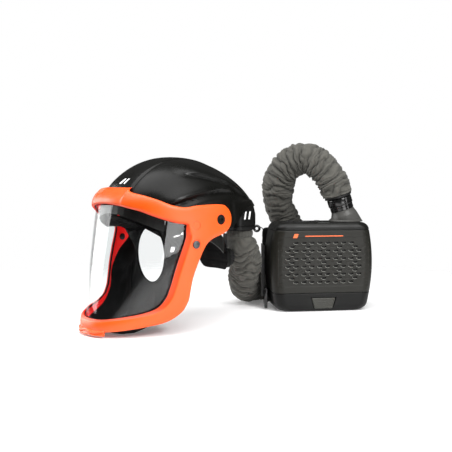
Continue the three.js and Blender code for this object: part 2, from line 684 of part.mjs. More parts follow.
// The hose's route: down from the helmet, along the floor behind the blower, up and over to the outlet.
const HOSE_ROUTE = [
  [26.7, 10.4, 146.8],
  [26.7, 10.4, 138],
  [31, 19, 122],
  [37, 31, 101],
  [38.5, 47, 76],
  [38, 72, 52],
  [45, 107, 35],
  [60, 135, 31.8],
  [85, 151, 32],
  [116, 160, 42],
  [142, 167, 66],
  [153, 170, 100],
  [149, 166, 130],
  [136, 156, 158],
  [120, 142, 186],
  [109, 128, 216],
  [110, 114, 248],
  [122, 99, 280],
  [142, 86, 297],
  [164, 75, 301],
  [185, 66, 291],
  [203, 60, 272],
  [215, 57, 253],
];

function breathingHose() {
  const start = NECK.collar + BAND_LENGTH + 2 * GAP;
  const lastBit = [start + 9, start].map((along) => neckPoint(along).applyEuler(blower.rotation).add(blower.position));
  const path = new THREE.CatmullRomCurve3([...HOSE_ROUTE.map((p) => vec(...p)), ...lastBit]);
  const circle = new THREE.Shape(
    range(HOSE.sides).map((i) => {
      const turn = (2 * Math.PI * i) / HOSE.sides;
      return new THREE.Vector2(HOSE.radius * Math.cos(turn), HOSE.radius * Math.sin(turn));
    }),
  );
  return new THREE.ExtrudeGeometry(circle, { steps: HOSE.steps, extrudePath: path, curveSegments: 1 });
}

// ---------------------------------------------------------------- inside the blower
// The fan casing: a spiral wall that opens into an outlet under the neck.
function fanVolute() {
  const outline = (inset) => {
    const points = range(19).map((i) => {
      const turn = rad(lerp(80, 360, i / 18));
      const reach = lerp(47, 60, i / 18) - inset;
      return new THREE.Vector2(reach * Math.cos(turn), reach * Math.sin(turn));
    });
    const outlet = [[72 - inset, 20], [72 - inset, 60 - 0.5 * inset], [44 + inset, 60 - 0.5 * inset], [40, 36 + inset]];
    return new THREE.Shape([...points, ...outlet.map(([x, z]) => new THREE.Vector2(x, z))]);
  };
  const block = (inset, from, to) =>
    new THREE.ExtrudeGeometry(outline(inset), { depth: to - from, bevelEnabled: false })
      .rotateX(Math.PI / 2)
      .translate(FAN.x, to, FAN.z);
  const place = (geometry) => geometry.translate(FAN.x, 0, FAN.z);
  const inlet = place(disc(FAN.inlet, FAN.front - 5, FAN.front + 5, vec(0, 1, 0), 24));
  const shaftHole = place(disc(4, FAN.back - 5, FAN.back + 5, vec(0, 1, 0), 12));
  const outlet = box([FAN.x + 46, FAN.front + 3, 140], [FAN.x + 69, FAN.back - 3, 170]);
  return cut(block(0, FAN.front, FAN.back), block(2.5, FAN.front + 2.5, FAN.back - 2.5), inlet, shaftHole, outlet);
}

function impeller() {
  const hub = [[3.3, 18], [36, 18], [36, 20], [7, 20], [7, 21], [3.3, 21]];
  const wheel = turned(hub, vec(0, 1, 0), 16);
  const blades = range(FAN.blades).map((i) => box([14, -4, -0.8], [35, 18.5, 0.8]).rotateY((2 * Math.PI * i) / FAN.blades));
  return join(wheel, ...blades).translate(FAN.x, 0, FAN.z);
}

function motor() {
  const profile = [[0, 2], [3, 2], [3, FAN.back + GAP], [19, FAN.back + GAP], [19, 42], [0, 42]];
  return turned(profile, vec(0, 1, 0), 20).translate(FAN.x, 0, FAN.z);
}

function particleFilter() {
  const pleats = 16;
  const front = range(2 * pleats + 1).map((i) => new THREE.Vector2(lerp(-76, 76, i / (2 * pleats)), i % 2 ? -31 : -39));
  const shape = new THREE.Shape([new THREE.Vector2(76, -19), new THREE.Vector2(-76, -19), ...front]);
  return new THREE.ExtrudeGeometry(shape, { depth: 98, bevelEnabled: false }).translate(0, 0, 47);
}

function frameRing(halfX, low, high, border, from, to) {
  return cut(box([-halfX, from, low], [halfX, to, high]), box([border - halfX, from - 1, low + border], [halfX - border, to + 1, high - border]));
}

// ---------------------------------------------------------------- battery
function batteryBlock() {
  return bodyBlock([0, 2, 5, 9, 14, 24, BATTERY_TOP], 0);
}

function latchShape(grow) {
  return new THREE.Shape([
    new THREE.Vector2(-24 - grow, 27 + grow),
    new THREE.Vector2(-18 - grow, 6 - grow),
    new THREE.Vector2(18 + grow, 6 - grow),
    new THREE.Vector2(24 + grow, 27 + grow),
  ]);
}

const latchBlock = (grow, from, to) =>
  new THREE.ExtrudeGeometry(latchShape(grow), { depth: to - from, bevelEnabled: false })
    .rotateX(Math.PI / 2)
    .translate(0, to, 0);

function batteryCase() {
  const cells = box([-78, -31, 4], [78, 37, 60]);
  return cut(batteryBlock(), cells, latchBlock(0.8, -60, -37));
}

// Two rows of round cells, touching in one shrink-wrapped pack.
function batteryCells() {
  const cells = range(4).flatMap((column) =>
    [-14.5, 18.5].map((y) => disc(15.5, -74 + 37 * column, -38 + 37.4 * column, vec(1, 0, 0), 10).translate(0, y, 20.5)),
  );
  return join(box([-74, -20, 8], [73, 24, 32]), ...cells);
}

// ---------------------------------------------------------------- belt
function beltBracket() {
  const ring = (y) => roundedRing(70, 35, 8, 0, 3).map((p) => vec(p.x, y, p.y + 115));
  return loft([ring(BODY.halfDepth + GAP), ring(BODY.halfDepth + 3.8)]);
}

function backPad() {
  const ring = (x, shrink) =>
    roundedRing(46 - shrink, 6 - 0.4 * shrink, 5 - 0.4 * shrink, 0, 3).map((p) => vec(x, p.y + BODY.halfDepth + 10.4, p.x + 116));
  return loft([ring(-104, 6), ring(-98, 1), ring(-60, 0), ring(60, 0), ring(98, 1), ring(104, 6)]);
}

function beltStrapLeft() {
  const path = [vec(75, 45, 24), vec(75, 50, 60), vec(75, 58, 95), vec(75, 66, 126)];
  return strap(path, 36, 2, vec(0, 1, 0));
}

function beltStrapRight() {
  const path = [[-100, 43], [-98, 53], [-90, 63], [-78, 68.4], [-50, 68.6], [0, 68.6], [50, 68.6], [96, 68.6]];
  const rise = [22, 22, 22, 24, 36, 62, 92, 118];
  return strap(path.map(([x, y], i) => vec(x, y, rise[i])), 38, 2.2, vec(0, 0, 1));
}

function strapRing() {
  return turned([[5, -1.5], [8, -1.5], [8, 1.5], [5, 1.5]], vec(0, 1, 0), 16);
}

// ---------------------------------------------------------------- blower assembly
function buildBlower() {
  add(blower, "blower_housing", blowerHousing(), casing);
  add(blower, "filter_cover", filterCover(), casing);
  add(blower, "top_cap", topCap(), casing);
  add(blower, "control_panel", controlPanel(), black);
  for (const [x, name] of buttonPlaces()) add(blower, name, panelButton(x), rubber);
  add(blower, "cover_latch", coverLatch(), casing);
  add(blower, "outlet_neck", outletNeck(), casing);
  add(blower, "bayonet_collar", bayonetCollar(), black);
  add(blower, "hose_band", hoseBand(), rubber);
  add(blower, "fan_volute", fanVolute(), black);
  add(blower, "impeller", impeller(), black);
  add(blower, "motor", motor(), steel);
  add(blower, "control_board", box([-74, -10, 150.5], [20, 30, 152.1]), board);
  add(blower, "particle_filter", particleFilter(), filterPaper);
  add(blower, "pre_filter", box([-76, -43.2, 49], [76, -39.4, 143]), foam);
  add(blower, "filter_seal", frameRing(76, 47, 145, 8, -18.6, -15.6), rubber);
  add(blower, "battery_case", batteryCase(), casing);
  add(blower, "battery_cells", batteryCells(), cellWrap);
  add(blower, "battery_latch", latchBlock(0, -46.6, -40), casing);
  add(blower, "belt_bracket", beltBracket(), black);
  add(blower, "back_pad", backPad(), cloth);
  add(blower, "belt_strap_right", beltStrapRight(), webbing);
  screwPlaces().forEach(([x, z], i) => {
    const profile = [[0, 38], [2.2, 38], [2.2, 48.4], [4.5, 48.4], [4.5, 50.2], [0, 50.2]];
    add(blower, `housing_screw_${i + 1}`, turned(profile, vec(0, 1, 0), 12).translate(x, 0, z), steel);
  });
}

function buildHoseAndBelt() {
  add(respirator, "breathing_hose", breathingHose(), hoseCloth);
  const cuff = pipe(SOCKET.radius + GAP, 26, -12.6, -0.6, vec(0, 0, 1), 16);
  add(helmet, "hose_cuff", cuff.translate(SOCKET.forward, 0, DUCT.bottom - GAP), hoseCloth);
  add(respirator, "belt_strap_left", beltStrapLeft(), webbing);
  add(respirator, "buckle_socket", box([76.6, 28, 2], [82.6, 52, 42]), black);
  add(respirator, "buckle_plug", box([76.8, 52.3, 4], [82.2, 76, 40]), black);
  add(respirator, "strap_ring", strapRing().translate(63.6, 92, 157), black);
}

buildHelmet();
buildBlower();
buildHoseAndBelt();

export default respirator;
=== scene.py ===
"""The looks of the powered air respirator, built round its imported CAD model.

Shapes are worked out in millimetres in two local frames, then placed in metres. The helmet's frame runs
forward, left and up from the middle of the visor's hinge line. The blower's runs right, back and up from the
middle of its underside.
"""

import json
import math

import bmesh
import bpy
import numpy as np
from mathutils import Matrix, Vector, noise


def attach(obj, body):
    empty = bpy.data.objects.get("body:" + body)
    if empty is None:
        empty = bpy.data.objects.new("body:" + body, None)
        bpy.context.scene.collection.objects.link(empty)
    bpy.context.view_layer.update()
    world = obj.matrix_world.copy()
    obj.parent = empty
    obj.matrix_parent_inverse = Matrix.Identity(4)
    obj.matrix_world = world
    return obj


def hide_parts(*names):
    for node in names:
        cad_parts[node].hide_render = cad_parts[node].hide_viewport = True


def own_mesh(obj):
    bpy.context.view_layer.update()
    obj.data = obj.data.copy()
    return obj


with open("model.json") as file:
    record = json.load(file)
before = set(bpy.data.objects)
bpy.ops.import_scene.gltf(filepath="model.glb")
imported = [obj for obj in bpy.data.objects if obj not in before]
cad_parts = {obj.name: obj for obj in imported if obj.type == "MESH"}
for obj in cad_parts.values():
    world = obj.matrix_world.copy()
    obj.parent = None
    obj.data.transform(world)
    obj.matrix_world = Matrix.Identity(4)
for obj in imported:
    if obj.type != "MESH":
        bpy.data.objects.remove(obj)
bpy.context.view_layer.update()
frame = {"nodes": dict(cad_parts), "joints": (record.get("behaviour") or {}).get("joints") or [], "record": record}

MM = 0.001
UP = np.array([0.0, 0.0, 1.0])
JOINTS = {joint["name"]: joint for joint in frame["joints"]}
MOUNTS = {mount["name"]: mount for mount in frame["record"]["mounts"]}

# ---------------------------------------------------------------- the two local frames
HINGE = np.array(JOINTS["visor_tilt"]["pos_m"])
LEFT = -np.array(JOINTS["visor_tilt"]["axis"])
FORWARD = np.cross(LEFT, UP)
BLOWER = np.array(MOUNTS["blower_base"]["pos_m"])
BACK = np.array(MOUNTS["pad_back"]["axis"])
RIGHT = np.cross(BACK, UP)
WORLD_SHIFT = np.array([21.0, -55.0, 0.0])  # the CAD file's own shift of its origin, for the hose's route


def in_helmet(points):
    """Millimetres in the helmet's frame, as metres in the world. The next two do the same for theirs."""
    return HINGE + np.asarray(points, float) * MM @ np.array([FORWARD, LEFT, UP])


def in_blower(points):
    return BLOWER + np.asarray(points, float) * MM @ np.array([RIGHT, BACK, UP])


def in_room(points):
    return (np.asarray(points, float) - WORLD_SHIFT) * MM


# ---------------------------------------------------------------- camera
EYE = in_room([0, -1400, 261])
FOCAL_PIXELS = 724
FRAME_PIXELS = 452
HORIZON_ABOVE_MIDDLE = 48  # pixels


def make_camera():
    """A camera tilted down so that the horizon lies above the picture's middle."""
    data = bpy.data.cameras.new("camera")
    data.sensor_width = 36
    data.lens = data.sensor_width * FOCAL_PIXELS / FRAME_PIXELS
    camera = bpy.data.objects.new("camera", data)
    tilt = math.atan(HORIZON_ABOVE_MIDDLE / FOCAL_PIXELS)
    camera.location = EYE
    camera.rotation_euler = (math.pi / 2 - tilt, 0, 0)
    bpy.context.scene.collection.objects.link(camera)
    bpy.context.scene.camera = camera


make_camera()


# ---------------------------------------------------------------- helpers
def signed_power(value, power):
    return np.sign(value) * np.abs(value) ** power


def smooth_step(low, high, value):
    t = np.clip((value - low) / (high - low), 0, 1)
    return t * t * (3 - 2 * t)


def bump_at(value, middle, width):
    return np.exp(-(((value - middle) / width) ** 2))


def catmull(points, count):
    """Even steps in the parameter along a centripetal Catmull-Rom curve through the points."""
    points = np.asarray(points, float)
    result = []
    for t in np.linspace(0, len(points) - 1, count):
        i = min(int(t), len(points) - 2)
        w = t - i
        p1, p2 = points[i], points[i + 1]
        p0 = points[i - 1] if i > 0 else 2 * p1 - p2
        p3 = points[i + 2] if i + 2 < len(points) else 2 * p2 - p1
        steps = [np.linalg.norm(b - a) ** 0.5 for a, b in ((p0, p1), (p1, p2), (p2, p3))]
        d0, d1, d2 = [max(step, 1e-4) for step in steps]
        m1 = ((p1 - p0) / d0 - (p2 - p0) / (d0 + d1) + (p2 - p1) / d1) * d1
        m2 = ((p2 - p1) / d1 - (p3 - p1) / (d1 + d2) + (p3 - p2) / d2) * d1
        a = 2 * p1 - 2 * p2 + m1 + m2
        b = -3 * p1 + 3 * p2 - 2 * m1 - m2
        result.append(((a * w + b) * w + m1) * w + p1)
    return np.array(result)


def unit(vectors):
    return vectors / np.linalg.norm(vectors, axis=-1, keepdims=True)


def full_turn(count):
    """That many angles evenly round a circle."""
    return np.linspace(0, 2 * math.pi, count, endpoint=False)


def distances_along(points):
    return np.concatenate([[0], np.cumsum(np.linalg.norm(np.diff(points, axis=0), axis=1))])


def resampled(points, count):
    """The same polyline with that many points, an even distance apart."""
    run = distances_along(points)
    places = np.linspace(0, run[-1], count)
    return np.stack([np.interp(places, run, column) for column in points.T], axis=1)


def even_steps(points, spacing):
    return resampled(points, max(2, int(round(distances_along(points)[-1] / spacing)) + 1))


def lying(points, height):
    """The same points in metres, with any that are under a height in millimetres raised to it."""
    points[..., 2] = np.maximum(points[..., 2], height * MM)
    return points


SHARP_ANGLE = 35  # degrees between faces where the shading breaks, unless a piece has its own
NEAR_AXIS = 0.01  # millimetres, the smallest radius of a ring in a turned shape


def new_object(name, vertices, faces, sharp=SHARP_ANGLE):
    """A smooth-shaded mesh with its faces pointing outwards."""
    mesh = bpy.data.meshes.new(name)
    mesh.from_pydata([tuple(v) for v in vertices], [], faces)
    work = bmesh.new()
    work.from_mesh(mesh)
    bmesh.ops.recalc_face_normals(work, faces=work.faces)
    work.to_mesh(mesh)
    work.free()
    mesh.shade_smooth()
    mesh.set_sharp_from_angle(angle=math.radians(sharp))
    thing = bpy.data.objects.new(name, mesh)
    bpy.context.scene.collection.objects.link(thing)
    return thing


def surface(name, grid, wrap_rows=False, wrap_columns=False, caps=False, sharp=SHARP_ANGLE):
    """A mesh through a grid of points, shape (rows, columns, 3), in metres."""
    rows, columns = grid.shape[:2]
    vertices = list(grid.reshape(-1, 3))
    faces = []
    for i in range(rows if wrap_rows else rows - 1):
        for j in range(columns if wrap_columns else columns - 1):
            low, high = i * columns, ((i + 1) % rows) * columns
            across = (j + 1) % columns
            faces.append((low + j, low + across, high + across, high + j))
    if caps:
        for row in (0, rows - 1):
            vertices.append(grid[row].mean(axis=0))
            middle = len(vertices) - 1
            faces += [(middle, row * columns + j, row * columns + (j + 1) % columns) for j in range(columns)]
    return new_object(name, vertices, faces, sharp)


def loft(name, rows, place, **options):
    """A solid through closed rings of points in millimetres, with a cap at each end."""
    return surface(name, place(np.array(rows)), wrap_columns=True, caps=True, **options)


def closed_loft(name, rows, place, **options):
    """A solid through closed rings of points in millimetres, the last of them joined to the first."""
    return surface(name, place(np.array(rows)), wrap_rows=True, wrap_columns=True, **options)


def thin_shell(name, outer, inner, wrap_columns=False, sharp=SHARP_ANGLE):
    """Two matching grids, in metres, joined along their open edges."""
    rows, columns = outer.shape[:2]
    size = rows * columns
    vertices = list(outer.reshape(-1, 3)) + list(inner.reshape(-1, 3))
    faces = []
    spans = columns if wrap_columns else columns - 1
    for i in range(rows - 1):
        for j in range(spans):
            low, high, across = i * columns, (i + 1) * columns, (j + 1) % columns
            faces.append((low + j, low + across, high + across, high + j))
            faces.append((size + low + j, size + high + j, size + high + across, size + low + across))
    for row in (0, rows - 1):
        start = row * columns
        for j in range(spans):
            across = (j + 1) % columns
            faces.append((start + j, start + across, size + start + across, size + start + j))
    if not wrap_columns:
        for column in (0, columns - 1):
            for i in range(rows - 1):
                low, high = i * columns + column, (i + 1) * columns + column
                faces.append((low, high, size + high, size + low))
    return new_object(name, vertices, faces, sharp)


def piping(name, line, radius, sides=10):
    """A round cord along a closed line, in metres."""
    runs = unit(np.roll(line, -1, axis=0) - np.roll(line, 1, axis=0))
    outward = line - line.mean(axis=0)
    outward = unit(outward - runs * (outward * runs).sum(axis=1, keepdims=True))
    other = np.cross(runs, outward)
    grid = [line + radius * (outward * math.cos(turn) + other * math.sin(turn)) for turn in full_turn(sides)]
    return surface(name, np.stack(grid, axis=1), wrap_rows=True, wrap_columns=True)


def ring_normals(grid):
    """Unit normals of a grid whose rows are closed rings."""
    along = np.roll(grid, -1, axis=1) - np.roll(grid, 1, axis=1)
    return unit(np.cross(along, np.gradient(grid, axis=0)))


def rounded_outline(half_x, half_y, corner, per_corner=14):
    """The corners of a rectangle with round corners, as (n, 2)."""
    corner = max(corner, 0.2)
    points = []
    for quarter, (sign_x, sign_y) in enumerate(((1, 1), (-1, 1), (-1, -1), (1, -1))):
        for turn in np.linspace(90 * quarter, 90 * quarter + 90, per_corner):
            x = sign_x * (half_x - corner) + corner * math.cos(math.radians(turn))
            y = sign_y * (half_y - corner) + corner * math.sin(math.radians(turn))
            points.append((x, y))
    return np.array(points)


def apply_modifiers(thing):
    graph = bpy.context.evaluated_depsgraph_get()
    data = bpy.data.meshes.new_from_object(thing.evaluated_get(graph))
    thing.modifiers.clear()
    thing.data = data


def subdivide(thing, levels=1):
    modifier = thing.modifiers.new("subdivide", "SUBSURF")
    modifier.levels = modifier.render_levels = levels
    apply_modifiers(thing)


def cut_away(thing, cutters):
    """Cuts each cutter's shape out of the piece, and removes the cutters."""
    for cutter in cutters:
        modifier = thing.modifiers.new("cut", "BOOLEAN")
        modifier.operation = "DIFFERENCE"
        modifier.solver = "EXACT"
        modifier.object = cutter
        apply_modifiers(thing)
        bpy.data.objects.remove(cutter)
    thing.data.set_sharp_from_angle(angle=math.radians(SHARP_ANGLE))


def turned(name, profile, place, start=(0, 0, 0), axis=(0, 0, 1), segments=96, shape=None):
    """A solid of revolution from (radius, distance along) corners. Shape(turn, corner) scales the radius."""
    axis = unit(np.array(axis, float))
    side = unit(np.cross(axis, [1.0, 0, 0] if abs(axis[0]) < 0.9 else [0, 1.0, 0]))
    other = np.cross(axis, side)
    bored = profile[0][0] > NEAR_AXIS and profile[-1][0] > NEAR_AXIS
    grid = []
    for corner, (radius, along) in enumerate(profile):
        row = []
        for turn in full_turn(segments):
            reach = max(radius, NEAR_AXIS) * (shape(turn, corner) if shape else 1)
            outward = side * math.cos(turn) + other * math.sin(turn)
            row.append(np.array(start) + axis * along + outward * reach)
        grid.append(row)
    return surface(name, place(np.array(grid)), wrap_rows=bored, wrap_columns=True, caps=not bored)


def rounded_box(name, low, high, radius, place, segments=3):
    """A box between two corners, with rounded edges."""
    work = bmesh.new()
    bmesh.ops.create_cube(work, size=1)
    low, high = np.array(low, float), np.array(high, float)
    for vertex in work.verts:
        vertex.co = Vector((low + high) / 2 + np.array(vertex.co) * (high - low))
    bmesh.ops.bevel(work, geom=work.edges[:], offset=radius, segments=segments, profile=0.5, affect="EDGES")
    points = [np.array(v.co) for v in work.verts]
    faces = [[v.index for v in face.verts] for face in work.faces]
    work.free()
    return new_object(name, place(np.array(points)), faces)


def finish_piece(thing, body, slot, *nodes, look=None):
    """Gives the piece its slot's material or another look, a body to ride on and CAD nodes to stand for."""
    if not thing.data.materials:
        thing.data.materials.append(MATERIALS[look or slot])
    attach(thing, body)
    if nodes:
        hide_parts(*nodes)
    return thing


def mark_points(thing, name, values):
    """Stores one number at each point of the mesh, for its material to read."""
    attribute = thing.data.attributes.new(name, "FLOAT", "POINT")
    attribute.data.foreach_set("value", np.asarray(values, np.float32))


def flat_strap(name, path, width, thickness, across, place, ridges=5):
    """Webbing along a path: a flat band with rounded edges and fine ribs along it."""
    edge, rib_depth = 0.8, 0.12
    columns = np.linspace(-1, 1, 4 * ridges + 1)
    rib = rib_depth * (np.cos(columns * ridges * 2 * math.pi) - 1) * (np.abs(columns) < 0.95)
    half = thickness / 2 * np.clip((1 - np.abs(columns)) * width / 2 / edge, 0.35, 1) + rib
    grid = []
    for i, point in enumerate(path):
        run = unit(path[min(i + 1, len(path) - 1)] - path[max(i - 1, 0)])
        side = unit(np.array(across, float) - run * np.dot(across, run))
        face = np.cross(run, side)
        top = [point + side * c * width / 2 + face * h for c, h in zip(columns, half)]
        bottom = [point + side * c * width / 2 - face * h for c, h in zip(columns, half)]
        grid.append(top + bottom[::-1])
    return loft(name, grid, place, sharp=50)


def fractal(points, scale, octaves=3, seed=0.0):
    """Smooth noise at each point of an (n, 3) array, about -1 to 1."""
    offset = Vector((seed, seed * 1.7, -seed))
    return np.array([noise.fractal(Vector(p) * scale + offset, 0.9, 2.0, octaves) for p in points])


# ---------------------------------------------------------------- materials
def fill_in(node, sockets):
    """Sets constants on a node's sockets. An underscore stands for the space in a socket's name."""
    for socket, value in sockets.items():
        node.inputs[socket.replace("_", " ")].default_value = value
    return node


def add_node(tree, kind, **sockets):
    return fill_in(tree.nodes.new("ShaderNode" + kind), sockets)


class Look:
    """A procedural material: a Principled shader with layers of colour and bump added to it."""

    def __init__(self, name, colour, roughness, **sockets):
        self.name = name
        self.material = bpy.data.materials.new(name)
        self.material.use_nodes = True
        self.tree = self.material.node_tree
        self.link = self.tree.links.new
        self.shader = self.tree.nodes["Principled BSDF"]
        fill_in(self.shader, {"Base Color": (*colour, 1), "Roughness": roughness, **sockets})
        self.colour = None
        self.place = self.node("TexCoord").outputs["Object"]

    def node(self, kind, **sockets):
        return add_node(self.tree, kind, **sockets)

    def noise(self, scale, detail=4, stretch=(1, 1, 1)):
        mapping = self.node("Mapping", Scale=stretch)
        texture = self.node("TexNoise", Scale=scale, Detail=detail)
        self.link(self.place, mapping.inputs["Vector"])
        self.link(mapping.outputs["Vector"], texture.inputs["Vector"])
        return texture.outputs["Fac"]

    def wave(self, scale, direction, distortion=1.0):
        texture = self.node("TexWave", Scale=scale, Distortion=distortion)
        texture.bands_direction = direction
        self.link(self.place, texture.inputs["Vector"])
        return texture.outputs["Fac"]

    def attribute(self, name):
        node = self.node("Attribute")
        node.attribute_name = name
        return node.outputs["Fac"]

    def pointiness(self):
        return self.node("NewGeometry").outputs["Pointiness"]

    def ranged(self, value, low, high, to_low=0.0, to_high=1.0):
        node = self.node("MapRange", From_Min=low, From_Max=high, To_Min=to_low, To_Max=to_high)
        self.link(value, node.inputs["Value"])
        return node.outputs["Result"]

    def tint(self, value, colour):
        """Mixes another colour in where the value is 1."""
        base = self.shader.inputs["Base Color"]
        mix = self.node("Mix")
        mix.data_type = "RGBA"
        fill_in(mix, {"A": base.default_value[:], "B": (*colour, 1)})
        self.link(value, mix.inputs["Factor"])
        if self.colour is not None:
            self.link(self.colour, mix.inputs["A"])
        self.colour = mix.outputs["Result"]
        self.link(self.colour, base)

    def rough(self, value, low, high):
        self.link(self.ranged(value, 0.3, 0.7, low, high), self.shader.inputs["Roughness"])

    def bump(self, value, depth_mm, strength=1.0):
        node = self.node("Bump", Strength=strength, Distance=depth_mm * MM)
        self.link(value, node.inputs["Height"])
        normal = self.shader.inputs["Normal"]
        if normal.links:
            self.link(normal.links[0].from_socket, node.inputs["Normal"])
        self.link(node.outputs["Normal"], normal)

    def mix_into_output(self, amount, first, second):
        """Shows a mix of two shaders: the first where the amount is 0, the second where it is 1."""
        mix = self.node("MixShader")
        for source, target in ((amount, 0), (first.outputs["BSDF"], 1), (second.outputs["BSDF"], 2)):
            self.link(source, mix.inputs[target])
        self.link(mix.outputs["Shader"], self.tree.nodes["Material Output"].inputs["Surface"])


def moulded(name, colour, roughness, grain_mm=0.5, grain_depth=0.03, wear=0.25, **sockets):
    """Injection-moulded plastic: fine grain, faint uneven gloss and lighter rubbed edges."""
    look = Look(name, colour, roughness, **sockets)
    lighter = tuple(min(1, c * 1.25 + 0.002) for c in colour)
    look.tint(look.ranged(look.noise(14, 3), 0.35, 0.75, 0, 0.35), lighter)
    rubbed = tuple(min(1, c * 1.5 + 0.03) for c in colour)
    look.tint(look.ranged(look.pointiness(), 0.54, 0.62, 0, wear), rubbed)
    look.rough(look.noise(30, 3), roughness - 0.05, roughness + 0.07)
    look.bump(look.noise(1 / (grain_mm * MM), 2), grain_depth)
    return look


def woven(name, colour, thread_mm=0.7, depth=0.12, roughness=0.9, sheen=0.1, specular=0.5):
    """Woven cloth: two crossing sets of threads, a fuzzy sheen and uneven dye."""
    look = Look(name, colour, roughness, Sheen_Weight=sheen, Sheen_Roughness=0.5, Specular_IOR_Level=specular)
    per_metre = 0.5 / (thread_mm * MM) / math.pi
    look.tint(look.ranged(look.noise(25, 4), 0.35, 0.7, 0, 0.5), tuple(c * 1.35 + 0.004 for c in colour))
    look.tint(look.ranged(look.noise(400, 3), 0.4, 0.7, 0, 0.35), tuple(c * 0.6 for c in colour))
    look.bump(look.wave(per_metre, "Z", 0.6), depth)
    look.bump(look.wave(per_metre, "X", 0.6), depth)
    look.bump(look.noise(120, 4), depth * 3)
    return look


def orange_plastic(name, colour):
    """Orange plastic that lets a little light into its surface."""
    glow = {"Subsurface_Weight": 0.08, "Subsurface_Radius": (0.004, 0.0015, 0.0008)}
    return moulded(name, colour, 0.42, grain_depth=0.02, wear=0.1, **glow)


def painted_red_glow_inside():
    """The frame's unpainted inner side: a deep red colour and a painted glow that stand in for the light coming
    through the plastic.
    """
    # painted light: the emission makes the back of the frame glow red though it is no lamp
    glow = {"Emission_Color": (0.8, 0.006, 0.006, 1), "Emission_Strength": 0.55}
    return moulded("orange_inside", (0.8, 0.008, 0.006), 0.5, grain_depth=0.02, wear=0.0, **glow)


def clear_lens():
    """Thin clear sheet: mostly see-through, with a gloss that grows towards grazing angles."""
    look = Look("clear_lens", (0.9, 0.92, 0.92), 0.03, IOR=1.5)
    through = look.node("BsdfTransparent", Color=(0.97, 0.98, 0.98, 1))
    gloss = look.node("BsdfGlossy", Roughness=0.03)
    steep = look.node("Math")
    steep.operation = "POWER"
    steep.inputs[1].default_value = 6
    look.link(look.node("LayerWeight").outputs["Facing"], steep.inputs[0])
    look.mix_into_output(look.ranged(steep.outputs["Value"], 0, 1, 0.03, 0.5), through, gloss)
    return look


def hose_cloth():
    """Grey sleeve cloth, with painted shade in the valleys between its folds and a painted highlight on their
    crests.
    """
    look = woven("hose_cloth", (0.053, 0.0515, 0.0445), thread_mm=0.9, depth=0.1, sheen=0.08)
    # painted shade in the folds' valleys
    look.tint(look.ranged(look.attribute("fold"), 0.0, 0.55, 0.75, 0), (0.02, 0.019, 0.016))
    # painted highlight on the folds' crests
    look.tint(look.ranged(look.attribute("fold"), 0.6, 1.0, 0, 0.4), (0.11, 0.105, 0.09))
    return look


def louvred_casing():
    """The cover's plastic, with painted shade in the louvres' slots and a painted highlight on the lower rims of
    their hoods.
    """
    look = moulded("louvred_casing", (0.0125, 0.0121, 0.0097), 0.4, 0.6, 0.05, 0.3, Specular_IOR_Level=0.22)
    # painted highlight: a pale tint on each hood's lower rim
    look.tint(look.ranged(look.attribute("hood"), 0.3, 0.8, 0, 0.8), (0.26, 0.26, 0.24))
    # painted shade: near black inside the slots
    look.tint(look.ranged(look.attribute("slot"), 0.15, 0.75, 0, 1), (0.0015, 0.0015, 0.0015))
    return look


def brushed(name, colour, roughness):
    """Metal with fine scratches along one direction."""
    look = Look(name, colour, roughness, Metallic=1.0)
    look.tint(look.ranged(look.noise(200, 3, (1, 1, 12)), 0.35, 0.7, 0, 0.5), tuple(c * 0.6 for c in colour))
    look.bump(look.noise(1500, 2, (1, 1, 8)), 0.02)
    return look


def circuit_board():
    """Green board with paler tracks."""
    look = moulded("board", (0.03, 0.14, 0.06), 0.35)
    look.tint(look.ranged(look.wave(90, "X", 6), 0.75, 0.8, 0, 0.8), (0.05, 0.26, 0.1))
    return look


CLOTH_BLACK = (0.0022, 0.0022, 0.0024)
GRAINED = {"grain_mm": 0.6, "grain_depth": 0.05}
PADDING = {"sheen": 0.02, "specular": 0.1}
LOOKS = (
    moulded("shell_black", (0.0035, 0.0035, 0.003), 0.3, 0.45, 0.02, 0.05, Specular_IOR_Level=0.15),
    orange_plastic("orange_frame", (0.8, 0.09, 0.003)),
    # a darker copy of the frame's orange, as painted shade on the lip that slopes down to the window
    orange_plastic("orange_chamfer", (0.78, 0.052, 0.003)),
    painted_red_glow_inside(),
    clear_lens(),
    moulded("black_plastic", (0.003, 0.003, 0.0027), 0.42, Specular_IOR_Level=0.2),
    moulded("black_gloss", (0.006, 0.006, 0.006), 0.18, grain_depth=0.001, wear=0.0),
    moulded("rubber", (0.005, 0.005, 0.005), 0.6, 0.8, 0.05, Specular_IOR_Level=0.3),
    moulded("casing", (0.005, 0.005, 0.0043), 0.4, wear=0.12, Specular_IOR_Level=0.22, **GRAINED),
    moulded("neck_grey", (0.06, 0.059, 0.055), 0.4, Specular_IOR_Level=0.3, **GRAINED),
    moulded("casing_light", (0.034, 0.0335, 0.028), 0.4, Specular_IOR_Level=0.3, **GRAINED),
    louvred_casing(),
    moulded("liner_foam", (0.05, 0.05, 0.05), 0.9, grain_mm=3, grain_depth=0.4),
    woven("padded_cloth", CLOTH_BLACK, thread_mm=1.1, depth=0.2, **PADDING),
    woven("seal_cloth", CLOTH_BLACK, thread_mm=0.6, depth=0.06, roughness=0.75, **PADDING),
    hose_cloth(),
    woven("webbing", (0.006, 0.006, 0.006), thread_mm=1.3, depth=0.25, roughness=0.8),
    woven("filter_paper", (0.75, 0.73, 0.66), thread_mm=0.4, depth=0.03, sheen=0.0),
    moulded("white_print", (0.85, 0.85, 0.85), 0.5, wear=0.0),
    moulded("orange_print", (0.75, 0.13, 0.03), 0.5, wear=0.0),
    brushed("steel", (0.5, 0.5, 0.5), 0.35),
    brushed("steel_dark", (0.1, 0.105, 0.11), 0.45),
    circuit_board(),
    moulded("cell_wrap", (0.03, 0.12, 0.3), 0.3, wear=0.05),
)
MATERIALS = {look.name: look.material for look in LOOKS}


